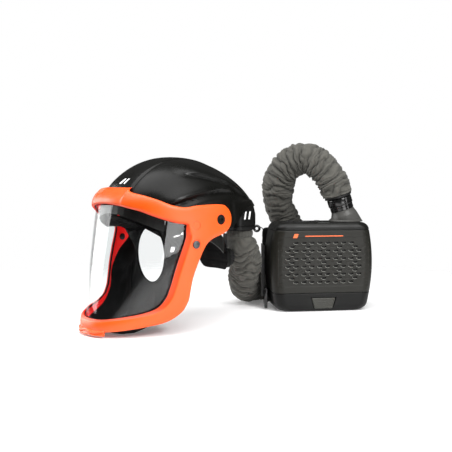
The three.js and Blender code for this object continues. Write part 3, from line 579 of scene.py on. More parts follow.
def dress_cad_nodes():
    """Every CAD node gets its slot's procedural material, whether or not a new piece later stands for it."""
    for part in frame["record"]["subparts"]:
        materials = frame["nodes"][part["node"]].data.materials
        materials.clear()
        materials.append(MATERIALS[part["material_slot"]])


dress_cad_nodes()


# ---------------------------------------------------------------- breathing hose
HOSE_RADIUS = 31
HOSE_STEP = 0.9  # millimetres between the cover's rings of points
FOLD = {"pitch": 14.5, "height": 4.8}
CREASE = {"pitch": 9.5, "height": 2.3}
NECK = {"x": 50, "z": 198, "lean": math.radians(17.8), "radius": 22.5, "wall": 3, "collar": 26}
BAND_LENGTH = 5
HOSE_SOCKET = (-150, 0, -30.3)
GAP = 0.3
NECK_AXIS = np.array([-math.sin(NECK["lean"]), 0, math.cos(NECK["lean"])])
NECK_SIDE = np.array([math.cos(NECK["lean"]), 0, math.sin(NECK["lean"])])
HOSE_ROUTE = [
    (26.7, 10.4, 146.8),
    (26.7, 10.4, 138),
    (31, 19, 122),
    (37, 31, 101),
    (38.5, 47, 76),
    (38, 72, 52),
    (45, 107, 35),
    (60, 135, 31.8),
    (85, 151, 32),
    (116, 160, 42),
    (142, 167, 66),
    (153, 170, 100),
    (149, 166, 130),
    (136, 156, 158),
    (120, 142, 186),
    (109, 128, 216),
    (110, 114, 248),
    (122, 99, 280),
    (142, 86, 297),
    (164, 75, 301),
    (185, 66, 291),
    (203, 60, 272),
    (215, 57, 253),
]


def neck_point(along):
    """A point on the leaning axis of the blower's outlet."""
    return np.array([NECK["x"], 0, NECK["z"]]) + NECK_AXIS * along


def round_neck(turn):
    """The direction straight out from the outlet's axis, at an angle round it."""
    return NECK_SIDE * math.cos(turn) + np.array([0, 1.0, 0]) * math.sin(turn)


def hose_line():
    """The hose's centreline in metres, from the helmet's socket to the band on the blower's outlet."""
    end = NECK["collar"] + BAND_LENGTH + 2 * GAP
    last_bit = in_blower([neck_point(end + 9), neck_point(end)])
    return even_steps(catmull(np.vstack([in_room(HOSE_ROUTE), last_bit]), 1200), HOSE_STEP * MM)


def carried_frames(line):
    """Two side directions at each point, carried along without twisting."""
    runs = unit(np.gradient(line, axis=0))
    side = np.cross(runs[0], [0.3, 1, 0.2])
    sides = []
    for run in runs:
        side = unit(side - run * np.dot(side, run))
        sides.append(side)
    return np.array(sides), np.cross(runs, sides)


def breathing_hose():
    """A loose sleeve bunched over a ribbed hose: uneven rings of cloth that merge, slant and pucker."""
    line = hose_line()
    sides, others = carried_frames(line)
    run = np.arange(len(line))[:, None] * np.linalg.norm(line[1] - line[0]) / MM
    turns = full_turn(110)
    cos, sin = np.cos(turns), np.sin(turns)
    places = np.array([[(c, s, r / 26) for c, s in zip(cos, sin)] for r in run[:, 0]]).reshape(-1, 3)

    def uneven(stretch, scale, seed):
        return fractal(places * stretch, scale, 2, seed).reshape(len(run), len(turns))

    drift, swell = uneven(1, 0.8, 3.0), uneven(1, 0.5, 11.0)
    split, pucker = uneven([1, 1, 1.8], 0.9, 31.0), uneven([1.1, 1.1, 3.4], 1.3, 27.0)
    fold = np.abs(np.sin(math.pi * (run / FOLD["pitch"] + drift + 0.2 * sin))) ** 0.55
    crease = np.abs(np.sin(math.pi * (run / CREASE["pitch"] + 1.3 * split - 0.35 * cos))) ** 0.7
    height = FOLD["height"] * fold * (1 + 0.45 * swell) + 0.8 * pucker
    height += CREASE["height"] * crease * (1 + 0.5 * split)
    at_cuff = smooth_step(0, 26, run)
    at_band = smooth_step(0, 20, run[-1] - run)
    radius = HOSE_RADIUS - 2.6 + 0.9 * swell - 5 * (1 - at_cuff) - 2 * (1 - at_band)
    radius = (radius + (height - 3) * np.minimum(at_cuff + 0.25, 1)) * MM
    outward = sides[:, None, :] * cos[:, None] + others[:, None, :] * sin[:, None]
    grid = lying(line[:, None, :] + radius[..., None] * outward, 0.6)
    hose = surface("breathing_hose_cover", grid, wrap_columns=True, caps=True, sharp=80)
    # how high on a fold each point is; from this the material paints shade in the valleys and a highlight on the
    # crests
    level = np.clip(0.62 * fold + 0.38 * crease + 0.1 * pucker, 0, 1)
    mark_points(hose, "fold", [*level.reshape(-1), 0.3, 0.3])
    finish_piece(hose, "root", "hose_cloth", "breathing_hose")
    return hose, line


def hose_band():
    """Elastic gathered round the end of the cover, twisted over itself in places."""
    points = []
    for turn in full_turn(160):
        row = []
        twist = 1.4 * math.sin(3 * turn) + 0.8 * math.sin(7 * turn + 1)
        for corner in full_turn(12):
            out = 25.2 + (2.1 + 0.4 * math.sin(9 * turn)) * math.cos(corner + 0.5 * twist)
            along = NECK["collar"] + 2.9 + 2.9 * math.sin(corner) + 0.6 * twist * math.cos(corner)
            row.append(neck_point(along) + round_neck(turn) * out)
        points.append(row)
    band = closed_loft("hose_elastic_band", points, in_blower)
    return finish_piece(band, "root", "rubber", "hose_band")


def hose_cuff():
    """The sleeve's hem pushed up over the socket under the rear duct."""
    profile = [(21.3, -12.4), (23.6, -13.4), (25.4, -11), (25.8, -7.5), (25.2, -4), (24.6, -1.6)]
    profile += [(22.6, -0.7), (21.3, -1.2)]

    def gather(turn, corner):
        return 1 + 0.012 * math.sin(23 * turn) + 0.008 * math.sin(11 * turn + corner)

    cuff = turned("hose_cuff_hem", profile, in_helmet, start=HOSE_SOCKET, segments=150, shape=gather)
    # a middling fold value, so the hem gets only a faint painted shade
    mark_points(cuff, "fold", [0.5] * len(cuff.data.vertices))
    return finish_piece(cuff, "root", "hose_cloth", "hose_cuff")


def build_hose():
    hose, line = breathing_hose()
    pieces = [hose_band(), hose_cuff()]


build_hose()

# ---------------------------------------------------------------- helmet shell
DOME = {"middle": -8, "half_length": 150, "half_width": 105, "height": 106, "wall": 3}
DOME |= {"round": 2.3, "square": 2.4}  # the powers of its curves upwards and around
DOME |= {"crown_ahead": 26, "front_taper": 0.36, "back_taper": 0.33}
RIM = {"side": 18, "brow": 24, "nape": 11, "ear": -40}  # the lower edge: its height, then what is added where


def dome_point(around, rise, inset=0.0):
    """A point on the plain dome, by angles around from straight ahead and up from the hinge's level."""
    level = signed_power(np.sin(rise), 2 / DOME["round"])
    spread = np.abs(np.cos(rise)) ** (2 / DOME["round"])
    above = np.maximum(level, 0)
    taper = 1 - np.where(np.cos(around) > 0, DOME["front_taper"] * above**3, DOME["back_taper"] * above)
    length = (DOME["half_length"] - inset) * spread * taper * signed_power(np.cos(around), 2 / DOME["square"])
    forward = DOME["middle"] + DOME["crown_ahead"] * above**2 + length
    left = (DOME["half_width"] - inset) * spread * signed_power(np.sin(around), 2 / DOME["square"])
    return np.stack([forward, left, (DOME["height"] - inset) * level], axis=-1)


def rim_height(around):
    """How high the shell's lower edge is: up over the brow and the nape, and down in front of each ear."""
    ahead = np.maximum(0, np.cos(around)) ** 2
    behind = np.maximum(0, -np.cos(around)) ** 12
    turn = np.abs((around + math.pi) % (2 * math.pi) - math.pi)
    at_ear = bump_at(turn, math.radians(92), math.radians(15))
    return RIM["side"] + RIM["brow"] * ahead + RIM["nape"] * behind + RIM["ear"] * at_ear


def dome_grid(inset, rows=90, columns=300):
    """Rings of points from the crown down to the shell's lower edge."""
    around = full_turn(columns)[None, :]
    height = rim_height(around) / (DOME["height"] - inset)
    rim = np.arcsin(signed_power(height, DOME["round"] / 2))
    share = np.linspace(0, 1, rows)[:, None]
    return dome_point(around + 0 * share, math.radians(88) * (1 - share) + rim * share, inset)


# Each flowing ridge on the shell's side: its height at four places from front to back, then its depth.
RIDGES = [
    ((62, 12, -36, -90), (79, 75, 59, 36), 5),
    ((112, 50, 0, -60), (18, 38.5, 49.5, 44), 5.6),
]


def shell_relief(points):
    """How far the moulded shell stands out from the plain dome: crest panel, ridges, flare and skirt."""
    forward, side, up = points[..., 0], np.abs(points[..., 1]), points[..., 2]
    crest_edge = 31 + 4 * smooth_step(20, 140, forward) + 6 * smooth_step(-40, -130, forward)
    crest = 1.1 * (1 - smooth_step(-1.8, 1.8, side - crest_edge)) - 0.5 * bump_at(side, crest_edge + 2, 1.6)
    relief = crest * smooth_step(30, 60, up)
    for places, heights, depth in RIDGES:
        front, back = places[0], places[-1]
        away = up - np.polyval(np.polyfit(places, heights, 3), np.clip(forward, back - 10, front))
        profile = bump_at(away, 0, np.where(away > 0, 15, 3.2)) - 0.25 * bump_at(away, -6, 3)
        window = smooth_step(front, front - 45, forward) * smooth_step(back - 25, back + 40, forward)
        relief = relief + depth * profile * window * smooth_step(24, 46, side)
    flare = smooth_step(-4, -19, away) * smooth_step(50, 80, side)  # below the lower ridge
    flare = flare * smooth_step(-45, -10, forward) * smooth_step(88, 66, forward)
    skirt = smooth_step(-38, -46, forward) * smooth_step(31, 28.5, up)
    return relief + 6 * flare + 1.6 * skirt


def helmet_shell():
    """The moulded shell, a plain dome inside and the relief outside."""
    outer = dome_grid(0)
    normals = ring_normals(outer)
    normals *= np.sign((normals * outer).sum(axis=2, keepdims=True))
    outer = outer + normals * shell_relief(outer)[..., None]
    shell = thin_shell("helmet_shell_outer", in_helmet(outer), in_helmet(dome_grid(DOME["wall"])), True)
    finish_piece(shell, "root", "shell_black", "helmet_shell")
    crown_plug(outer[0])


def crown_plug(ring):
    """The small round plug where the shell's crest panel closes over the moulding gate."""
    middle = ring.mean(axis=0)
    shares = (1.0, 0.66, 0.33, 0.02)
    rows = [middle + (ring - middle) * share + 0.25 * (1 - share**2) * UP for share in shares]
    plug = loft("helmet_crown_plug", rows, in_helmet)
    finish_piece(plug, "root", "shell_black")


helmet_shell()

# ---------------------------------------------------------------- visor
VISOR = {"reach": 156, "lean": 0.165, "brow_reach": 153.5, "brow_up": 15, "half_width": 114, "square": 2.4}
VISOR |= {"frame": 5, "lens": 1.6, "lens_depth": 3, "arm": 25.5, "pivot_face": 119.8}
RIVET = {"at": (76, -40), "head": 6.8}


def visor_reach(up):
    """How far ahead of the hinge line the visor's middle stands: straight up to the brow, then curving."""
    above = up - VISOR["brow_up"]
    return np.where(above < 0, VISOR["reach"] - VISOR["lean"] * up, VISOR["brow_reach"] - 0.012 * above**2)


def visor_point(around, up, out=0.0):
    """A point on the visor's curved surface. Around is in degrees from straight ahead."""
    around, up, out = np.broadcast_arrays(*(np.asarray(value, float) for value in (around, up, out)))
    reach = visor_reach(up)
    narrow = np.where(up < 0, 24 * (up / 185) ** 2, 0.004 * np.maximum(0, up - 26) ** 2)
    half_width = VISOR["half_width"] - narrow
    forward = reach * signed_power(np.cos(np.radians(around)), 2 / VISOR["square"])
    left = half_width * signed_power(np.sin(np.radians(around)), 2 / VISOR["square"])
    steep = VISOR["square"] - 1
    slope_forward = signed_power(forward / reach, steep) / reach
    slope_left = signed_power(left / half_width, steep) / half_width
    normal = unit(np.stack([slope_forward, slope_left, np.zeros_like(left)], axis=-1))
    return np.stack([forward, left, up], axis=-1) + normal * out[..., None]


def visor_axis(around, up):
    """The direction straight out of the visor."""
    return visor_point(around, up, 1) - visor_point(around, up, 0)


def around_at(forward, up):
    """The angle round the visor at a distance ahead of the hinge line."""
    return math.degrees(math.acos(signed_power(forward / visor_reach(up), VISOR["square"] / 2)))


def frame_stations():
    """From the brow round the hinge arm to the chin: (around, up) of the outer edge, then of the window's."""
    brow = [
        (0, 55, 0, 27),
        (8, 55, 8, 26),
        (16.5, 54, 16, 24),
        (20, 48, 20, 22.5),
        (36, 41, 34, 16),
        (48, 34, 45, 8),
        (59, 25.5, 55, 1),
        (68, 22, 63, -4),
        (76, 24.5, 67.5, -5.5),
    ]
    arm = []
    for i, turn in enumerate((80, 55, 30, 5, -20, -45, -70)):
        forward = -VISOR["arm"] * math.cos(math.radians(turn))
        up = VISOR["arm"] * math.sin(math.radians(turn))
        arm.append((around_at(forward, up), up, 69.5, -7 - 2 * i))
    cheek_and_chin = [
        (85, -35, 69.8, -24),
        (82, -47, 69, -36),
        (79, -69, 67, -56),
        (76.5, -97, 64.5, -86),
        (76, -118, 63, -110),
        (75.5, -136, 61, -129),
        (72, -155, 56, -144),
        (64, -168, 47, -151),
        (50, -174, 37, -155),
        (32, -179, 24, -159),
        (15, -182, 12, -162),
        (0, -183, 0, -163),
    ]
    return np.array(brow + arm + cheek_and_chin)


def frame_pairs(per_half=170):
    """Matching outer and window points round the whole frame, shape (n, 4)."""
    rows = frame_stations()
    half = np.hstack([catmull(rows[:, :2], per_half + 1), catmull(rows[:, 2:], per_half + 1)])
    mirrored = half[1:-1][::-1] * [-1, 1, -1, 1]
    return np.vstack([half, mirrored])


def on_visor(pair, share, out):
    """A point between an outer point, at share 0, and its window point, at share 1."""
    around = pair[0] * (1 - share) + pair[2] * share
    up = pair[1] * (1 - share) + pair[3] * share
    return visor_point(around, up, out)


def frame_section(pair):
    """One cross-section: rounded outer edge, crowned face, sloping lip to the window and flat back."""
    width = float(np.linalg.norm(on_visor(pair, 0, 0) - on_visor(pair, 1, 0)))
    cheek = smooth_step(-4, -24, pair[3]) * smooth_step(-160, -146, pair[3])
    lip_width = min(3.0 + 6.5 * cheek, 0.42 * width)
    lip = 1 - lip_width / width
    block = 1 - smooth_step(15.5, 18, abs(pair[0])) if pair[1] > 0 else 0
    edge = (3.0 + 7 * block) / width
    face = VISOR["frame"] - 0.8 * block
    rolled = 1 + 0.9 * block
    share = [0, 0, 0.12 * edge, 0.42 * edge, edge]
    out = [0.5, face - 3.0 * rolled, face - 1.6 * rolled, face - 0.6 * rolled, face]
    for t in (0.2, 0.4, 0.6, 0.8):
        share.append(edge + (lip - edge) * t)
        out.append(face + 0.9 * math.sin(math.pi * t))
    share += [lip - 0.8 / width, lip, lip + 0.5 / width, 1, 1, 1 - 0.6 / width, 0.66, 0.33, 0.5 / width]
    out += [face, face - 0.35, face - 0.8, 1.6, 0.7, 0, 0, 0, 0]
    share, out = np.array(share), np.array(out)
    lean = 8 * block * np.clip(1 - share / 0.8, 0, 1) ** 1.3
    return on_visor(pair, share, out - lean)


LIP_COLUMNS = (11, 12)  # the two faces across the section that slope down to the window
BACK_COLUMNS = (13, 14, 15, 16, 17)  # the flat back, from the window's edge outwards


def frame_groove(middle, axis, inner, outer, depth):
    """A cutter for a round recess in the frame's face."""
    profile = [(inner, -depth), (outer, -depth), (outer, 6), (inner, 6)]
    return turned("cutter", profile, in_helmet, start=middle, axis=axis, segments=64)


def visor_frame():
    """The orange frame, with a seat for each screw, and a groove round each rivet and on each cheek."""
    rows = [frame_section(pair) for pair in frame_pairs()]
    ring = closed_loft("visor_frame_moulding", rows, in_helmet, sharp=32)
    for look in ("orange_frame", "orange_chamfer", "orange_inside"):
        ring.data.materials.append(MATERIALS[look])
    # painted light on the frame: the lip's faces get painted shade from orange_chamfer, and the flat back gets the
    # painted red glow of orange_inside
    for index, polygon in enumerate(ring.data.polygons):
        column = index % len(rows[0])
        polygon.material_index = 1 if column in LIP_COLUMNS else (2 if column in BACK_COLUMNS else 0)
    grooves = (((around_at(50, -8), -8), 5.2, 6.5, 7.6), (RIVET["at"], 5.4, 7.2, 8.4))
    cutters = []
    for side in (1, -1):
        cutters.append(frame_groove((0, side * 119.6, 0), (0, side, 0), 0, 8.9, 1.2))
        for (around, up), out, inner, outer in grooves:
            middle = visor_point(side * around, up, out)
            cutters.append(frame_groove(middle, visor_axis(side * around, up), inner, outer, 0.5))
    cut_away(ring, cutters)
    finish_piece(ring, "visor", "orange_frame", "visor_frame")


def chin_lip():
    """The two-step lip under the chin, with a wave along its front, that the visor is lifted by."""
    rows = []
    for around in np.linspace(-19, 19, 61):
        fade = math.cos(math.radians(around * 90 / 19.5)) ** 0.4
        wave = 1.7 * math.cos(math.radians(around * 20)) * fade
        reach = 4.5 + 3.6 * fade
        upper_step = [(reach, -179.6), (reach + 0.9, -181.2), (reach, -183.0), (reach - 1.4, -183.8)]
        lower_step = [(reach + 0.4, -185.8), (reach - 0.6, -187.2), (reach - 2.4, -188.0), (0.6, -188.0)]
        corners = [(3.0, -177.4), *((out, up + wave) for out, up in upper_step)]
        corners += [(reach - 0.6, -184.6 + 0.4 * wave), *lower_step]
        out, up = np.array(corners).T
        rows.append(visor_point(around, up, out))
    lip = loft("visor_chin_lip", rows, in_helmet)
    finish_piece(lip, "visor", "orange_frame")


def lens_sheet(out, rows=70, columns=161):
    """The clear sheet's points, from its lower edge up to its arched top."""
    share = np.linspace(0, 1, rows)[:, None]
    around = np.linspace(-1, 1, columns)[None, :] * (65 + 7 * share)
    top = 31 - 36 * (np.abs(around) / 70) ** 1.4
    bottom = -168 + 14 * (np.abs(around) / 66) ** 2
    return visor_point(around, bottom + (top - bottom) * share, out)


def visor_lens():
    """The curved clear sheet behind the frame's window."""
    outer, inner = lens_sheet(-VISOR["lens_depth"]), lens_sheet(-VISOR["lens_depth"] - VISOR["lens"])
    lens = thin_shell("visor_lens_sheet", in_helmet(outer), in_helmet(inner), sharp=60)
    finish_piece(lens, "visor", "clear_lens", "visor_lens")


def visor_fixings():
    """The hinge screws with their six-sided sockets, and the dark rivets that hold the lens."""
    head = RIVET["head"]
    screw = [(0, -0.9), (2.6, -0.9), (2.9, 1.4), (4.6, 1.6), (5.2, 1.2), (5.4, 0.3)]
    screw += [(7.9, 0.3), (8.2, 0), (8.2, -12), (0, -12)]
    rivet = [(0, 1.5), (head - 2, 1.4), (head - 0.5, 0.8), (head, -0.4), (head, -1.4)]
    rivet += [(3, -1.4), (3, -6.1), (6.2, -6.1), (6.2, -7.4), (0, -7.9)]

    def hexagon(turn, corner):
        return 1 + (0.07 * math.cos(6 * turn) if corner in (1, 2) else 0)

    for name, side in (("left", 1), ("right", -1)):
        start, axis = (0, side * VISOR["pivot_face"], 0), (0, side, 0)
        piece = turned(f"pivot_screw_{name}", screw, in_helmet, start=start, axis=axis, shape=hexagon)
        finish_piece(piece, "root", "black_plastic", f"visor_screw_{name}")
        around, up = RIVET["at"]
        seat, axis = visor_point(side * around, up, VISOR["frame"] + 0.9), visor_axis(side * around, up)
        piece = turned(f"lens_rivet_head_{name}", rivet, in_helmet, start=seat, axis=axis)
        finish_piece(piece, "visor", "steel", f"lens_rivet_{name}", look="steel_dark")


visor_frame()
chin_lip()
visor_lens()
visor_fixings()

# ---------------------------------------------------------------- face seal
SEAL_EDGE = [
    (0, -172, -6.5),
    (30, -169, -6.5),
    (52, -157, -6.5),
    (61.5, -132, -7),
    (64, -94, -7.5),
    (70, -64, -9),
    (79, -36, -10),
    (74, -9, -9.5),
    (66, 0, -9.3),
    (59, 5, -9.3),
    (56, 3, -9.3),
    (54.5, -10, -9.8),
    (53, -18, -15),
    (38, -14, -23),
    (22, -5, -24),
    (0, 4, -24),
]
FACE_HOLE = {"forward": 62, "up": -64, "half_width": 42, "half_height": 50}
SEAL_FOCUS = np.array([150, 0, -70])  # the folds puff out away from this point
SEAL_SAG = 48


def seal_grid(offset, rows=70, columns=240):
    """The cloth funnel from the frame to the face opening, with slanting folds and a sag under the chin."""
    edge = catmull(SEAL_EDGE, columns // 2 + 1)
    grid = np.zeros((rows, columns, 3))
    for j in range(columns):
        step = j - columns // 2
        turn = 2 * math.pi * step / columns
        around, up, out = edge[abs(step)]
        start = visor_point(math.copysign(around, step), up, out)
        end = np.array(
            [
                FACE_HOLE["forward"],
                FACE_HOLE["half_width"] * math.sin(turn),
                FACE_HOLE["up"] - FACE_HOLE["half_height"] * math.cos(turn),
            ]
        )
        sag = max(0.0, math.cos(turn)) ** 2
        for i in range(rows):
            t = i / (rows - 1)
            drop = SEAL_SAG * sag * math.sin(math.pi * t) ** 0.9 * (0.75 + 0.25 * t)
            grid[i, j] = start * (1 - t) + end * t - [0, 0, drop]
    outward = unit(grid - SEAL_FOCUS)
    share = np.linspace(0, 1, rows)[:, None]
    turns = full_turn(columns)[None, :] - math.pi
    wrinkle = fractal(grid.reshape(-1, 3) * [0.9, 1.3, 0.7], 0.03, 3, 5.0).reshape(rows, columns)
    slant = np.abs(np.sin(4.5 * turns + 2.6 * share + 1.2 * wrinkle)) ** 0.55
    puff = (5.5 * slant + 3.2 * wrinkle) * np.sin(math.pi * share) ** 0.7
    seam = -1.3 * bump_at(share, 0.62, 0.012)
    return grid + outward * (puff + seam + offset)[..., None]


def face_seal():
    """The gathered cloth and its piped hem."""
    outer = lying(in_helmet(seal_grid(1.6)), 0.4)
    inner = lying(in_helmet(seal_grid(0.8)), 1.2)
    seal = thin_shell("face_seal_cloth", outer, inner, True, sharp=80)
    finish_piece(seal, "visor", "seal_cloth", "face_seal")
    hem = piping("face_seal_hem", in_helmet(seal_grid(1.2)[-1]), 0.0022)
    finish_piece(hem, "visor", "seal_cloth")
    for piece in (seal, hem):
        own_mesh(piece)


face_seal()


# ---------------------------------------------------------------- plain printed marks
def printed(name, corners, place_at, place, body, look, slot):
    """A thin printed shape with four corners, laid on the surface that place_at(u, v, out) gives."""
    share = np.linspace(0, 1, 9)
    a, b, c, d = (np.array(corner, float) for corner in corners)
    low = a + (b - a) * share[:, None]
    high = d + (c - d) * share[:, None]
    spots = low[None, :, :] * (1 - share[:, None, None]) + high[None, :, :] * share[:, None, None]

    def sheet(out):
        return place(np.array([[place_at(u, v, out) for u, v in row] for row in spots]))

    mark = thin_shell(name, sheet(0.12), sheet(0.02))
    finish_piece(mark, body, slot, look=look)


def on_shell_front(u, v, out):
    """U is millimetres to the left of the crest, v millimetres up the shell's front from the brow."""
    around, rise = math.radians(u * 0.43), math.radians(20 + v * 0.55)
    point = dome_point(around, rise)
    ahead = unit(dome_point(around, rise, -1) - point)
    return point + ahead * (float(shell_relief(point)) + out + 0.1)


def on_lens(u, v, out):
    """U is degrees round the visor and v millimetres up."""
    return visor_point(u, v, out - VISOR["lens_depth"])


def helmet_marks():
    """Two slanting bars on the shell's front, and three plain marks at the lens's upper near corner."""
    for i, left in enumerate((-2, 9)):
        bar = ((left, 20), (left + 5, 20), (left + 9, 31), (left + 4, 31))
        name = f"shell_print_bar_{i + 1}"
        printed(name, bar, on_shell_front, in_helmet, "root", "white_print", "shell_black")
    bars = {
        "long": ((61.7, -27.4), (65.7, -25.2), (65.7, -22.9), (61.7, -25)),
        "short": ((66.4, -24), (68.4, -22.6), (68, -18.6), (66.8, -20.6)),
        "block": ((60.2, -51.5), (62.8, -50.5), (63.2, -43.4), (60.6, -42.6)),
    }
    for name, corners in bars.items():
        printed(f"lens_print_{name}", corners, on_lens, in_helmet, "visor", "white_print", "clear_lens")


helmet_marks()

# ---------------------------------------------------------------- inside and behind the helmet
NAPE = {"middle": -25, "radius": 65, "pad": 6, "spread": 36, "top": -49, "bottom": -104, "axis_up": -82}
KNOB = {"radius": 17, "thickness": 13, "ribs": 20}
DUCT = {"front": -118, "back": -174, "half_width": 30, "top": 27.6, "bottom": -30, "corner": 14}


def rear_duct():
    """The moulded air duct behind the shell, with a rolled top edge and a step above the hose socket."""
    middle = (DUCT["front"] + DUCT["back"]) / 2
    half_length = (DUCT["front"] - DUCT["back"]) / 2
    foot = [(0, 2.2), (0.8, 0.6), (2.5, 0), (7, 0), (7.6, 0.9), (8.4, 0.9), (9, 0), (-DUCT["bottom"], 0)]
    crest = [(-10, 0.2), (-6, 1.2), (-3, 3.2), (-1, 6), (0, 10)]
    levels = [(DUCT["bottom"] + up, shrink) for up, shrink in foot]
    levels += [(DUCT["top"] + up, shrink) for up, shrink in crest]
    rows = []
    for up, shrink in levels:
        corner = DUCT["corner"] - 0.4 * shrink
        outline = rounded_outline(half_length - shrink, DUCT["half_width"] - shrink, corner)
        lean = 2.5 + 11 * smooth_step(6, DUCT["top"], up)
        outline[:, 0] += lean * np.clip(-outline[:, 0] / half_length, 0, 1)
        rows.append(np.column_stack([outline[:, 0] + middle, outline[:, 1], np.full(len(outline), up)]))
    duct = loft("rear_air_duct_moulding", rows, in_helmet)
    bore = [(0, -10), (17.6, -10), (17.6, 22.3), (0, 22.3)]
    cut_away(duct, [turned("cutter", bore, in_helmet, start=HOSE_SOCKET)])
    finish_piece(duct, "root", "black_plastic", "rear_air_duct")


def nape_pad_shape(rows=24, columns=60):
    """The curved pad behind the head, crowned, with sides that pull in between its corners."""
    share = np.linspace(0, 1, rows)[:, None]
    turn = np.radians(np.linspace(-NAPE["spread"], NAPE["spread"], columns))[None, :]
    near_end = np.abs(turn / math.radians(NAPE["spread"]))
    pull = 2 + 16 * near_end**7
    up = NAPE["bottom"] + pull + (NAPE["top"] - NAPE["bottom"] - 2 * pull) * share
    across = np.sin(math.pi * share) ** 0.5 * np.abs(np.cos(turn * 90 / NAPE["spread"])) ** 0.35
    half = np.maximum((NAPE["pad"] / 2 - 0.4) * across, 0.25)

    def side(sign):
        radius = NAPE["radius"] + NAPE["pad"] / 2 + sign * half
        forward = NAPE["middle"] - radius * np.cos(turn)
        return in_helmet(np.stack([forward, radius * np.sin(turn), up], axis=-1))

    return side(1), side(-1)


def move_points(thing, places):
    """Moves each point of the mesh to its new place."""
    for vertex, place in zip(thing.data.vertices, places):
        vertex.co = place


CLOTH_FRAMES = 20


def plump(pad, cap):
    """Fills a pad by a short cloth simulation under pressure, moving no point further than the cap."""
    rest = np.array([v.co for v in pad.data.vertices])
    cloth = pad.modifiers.new("cloth", "CLOTH")
    cloth.settings.use_pressure = True
    cloth.settings.uniform_pressure_force = 4
    cloth.settings.effector_weights.gravity = 0
    cloth.settings.tension_stiffness = 12
    cloth.settings.bending_stiffness = 0.4
    cloth.point_cache.frame_start = 1
    cloth.point_cache.frame_end = CLOTH_FRAMES
    for step in range(1, CLOTH_FRAMES + 1):
        bpy.context.scene.frame_set(step)
    apply_modifiers(pad)
    bpy.context.scene.frame_set(1)
    moved = np.array([v.co for v in pad.data.vertices]) - rest
    distance = np.linalg.norm(moved, axis=1, keepdims=True)
    move_points(pad, rest + moved * np.minimum(1, cap / np.maximum(distance, 1e-9)))
    subdivide(pad)


def quilt(pad, heights, depth=0.0014, width=0.0022):
    """Presses stitched channels into a pad at each height, in metres."""
    points = np.array([v.co for v in pad.data.vertices])
    normals = np.array([v.normal for v in pad.data.vertices])
    up = points[:, 2].copy()
    for height in heights:
        points -= normals * (depth * bump_at(up, height, width))[:, None]
    move_points(pad, points)


def nape_pad():
    """The nape pad's cloth, with two stitched channels along it."""
    outer, inner = nape_pad_shape()
    pad = thin_shell("nape_pad", outer, inner, sharp=80)
    plump(pad, cap=0.0022)
    level = HINGE[2] + NAPE["bottom"] * MM
    quilt(pad, [level + 0.018, level + 0.037])
    finish_piece(pad, "nape", "padded_cloth", "nape_cradle")


def ratchet():
    """The rounded ratchet housing behind the nape pad, and its knob with a fluted grip."""
    front = NAPE["middle"] - NAPE["radius"] - NAPE["pad"] - GAP
    half_height, half_width = 18, 22
    outline = rounded_outline(half_height, half_width, 9, 10)
    rows = []
    for forward, shrink in ((0, 0.4), (-0.5, 0), (-11, 0), (-13, 0.8), (-14.4, 2.4), (-15, 5)):
        ring = outline * [1 - shrink / half_height, 1 - shrink / half_width]
        up = ring[:, 0] + NAPE["axis_up"]
        rows.append(np.column_stack([np.full(len(ring), front + forward), ring[:, 1], up]))
    housing = loft("ratchet_housing_moulding", rows, in_helmet)
    finish_piece(housing, "nape", "black_plastic", "ratchet_housing")
    radius, thick = KNOB["radius"], KNOB["thickness"]
    profile = [(0, 0), (radius - 1, 0), (radius, 1), (radius, 5), (radius - 0.3, thick - 3)]
    profile += [(radius - 1.2, thick - 1.2), (radius - 3, thick), (radius - 6, thick)]
    profile += [(radius - 7, thick - 0.8), (0, thick - 0.8)]

    def flutes(turn, corner):
        return 1 - (0.055 * max(0, math.cos(KNOB["ribs"] * turn)) ** 2 if 1 < corner < 6 else 0)

    place = {"start": (front - 15 - GAP, 0, NAPE["axis_up"]), "axis": (-1, 0, 0)}
    knob = turned("ratchet_knob_grip", profile, in_helmet, segments=200, shape=flutes, **place)
    finish_piece(knob, "knob", "rubber", "ratchet_knob")


def band_point(turn, inset):
    """A point on the tilted ring of the headband, that far inside it."""
    ahead, left = math.cos(turn), math.sin(turn)
    half_length = (100 if ahead > 0 else 84) - inset
    return np.array([-2 + half_length * ahead, (77 - inset) * left, -22 + 45 * ahead])


def sweatband():
    """The padded brow band inside the headband."""
    grid = []
    for share in np.linspace(-1, 1, 90):
        turn = math.radians(48 * share)
        outward = np.array([math.cos(turn), math.sin(turn), 0])
        end = max(0.1, (1 - abs(share) ** 8)) ** 0.5
        thick, tall = 2.0 * end * outward, 14.6 * end * UP
        section = [thick * math.cos(round_it) + tall * math.sin(round_it) for round_it in full_turn(26)]
        grid.append(band_point(turn, 4.2) + np.array(section))
    pad = loft("brow_sweatband", grid, in_helmet, sharp=80)
    plump(pad, cap=0.0012)
    finish_piece(pad, "root", "padded_cloth", "sweatband")


def crown_straps():
    """Two webbing arches over the head, one along it and one across."""
    for name, rise, reach, run, across in (("long", 80, 82, 0, (0, 1, 0)), ("cross", 76, 68, 1, (1, 0, 0))):
        path = []
        for turn in np.radians(np.linspace(12, 168, 40)):
            point = np.array([4, 0, rise * math.sin(turn)])
            point[run] += reach * math.cos(turn)
            path.append(point)
        strap = flat_strap(f"crown_webbing_{name}", path, 20, 1.6, across, in_helmet)
        finish_piece(strap, "root", "webbing", f"crown_strap_{name}")


def duct_marks():
    """The same two slanting bars on the duct's side."""

    def on_duct(u, v, out):
        return np.array([-u, DUCT["half_width"] + out, v])

    for i, back in enumerate((134, 145)):
        bar = ((back, -9), (back + 4, -9), (back + 7, 6), (back + 3, 6))
        printed(f"duct_print_bar_{i + 1}", bar, on_duct, in_helmet, "root", "white_print", "black_plastic")


rear_duct()
duct_marks()
nape_pad()
ratchet()
sweatband()
crown_straps()

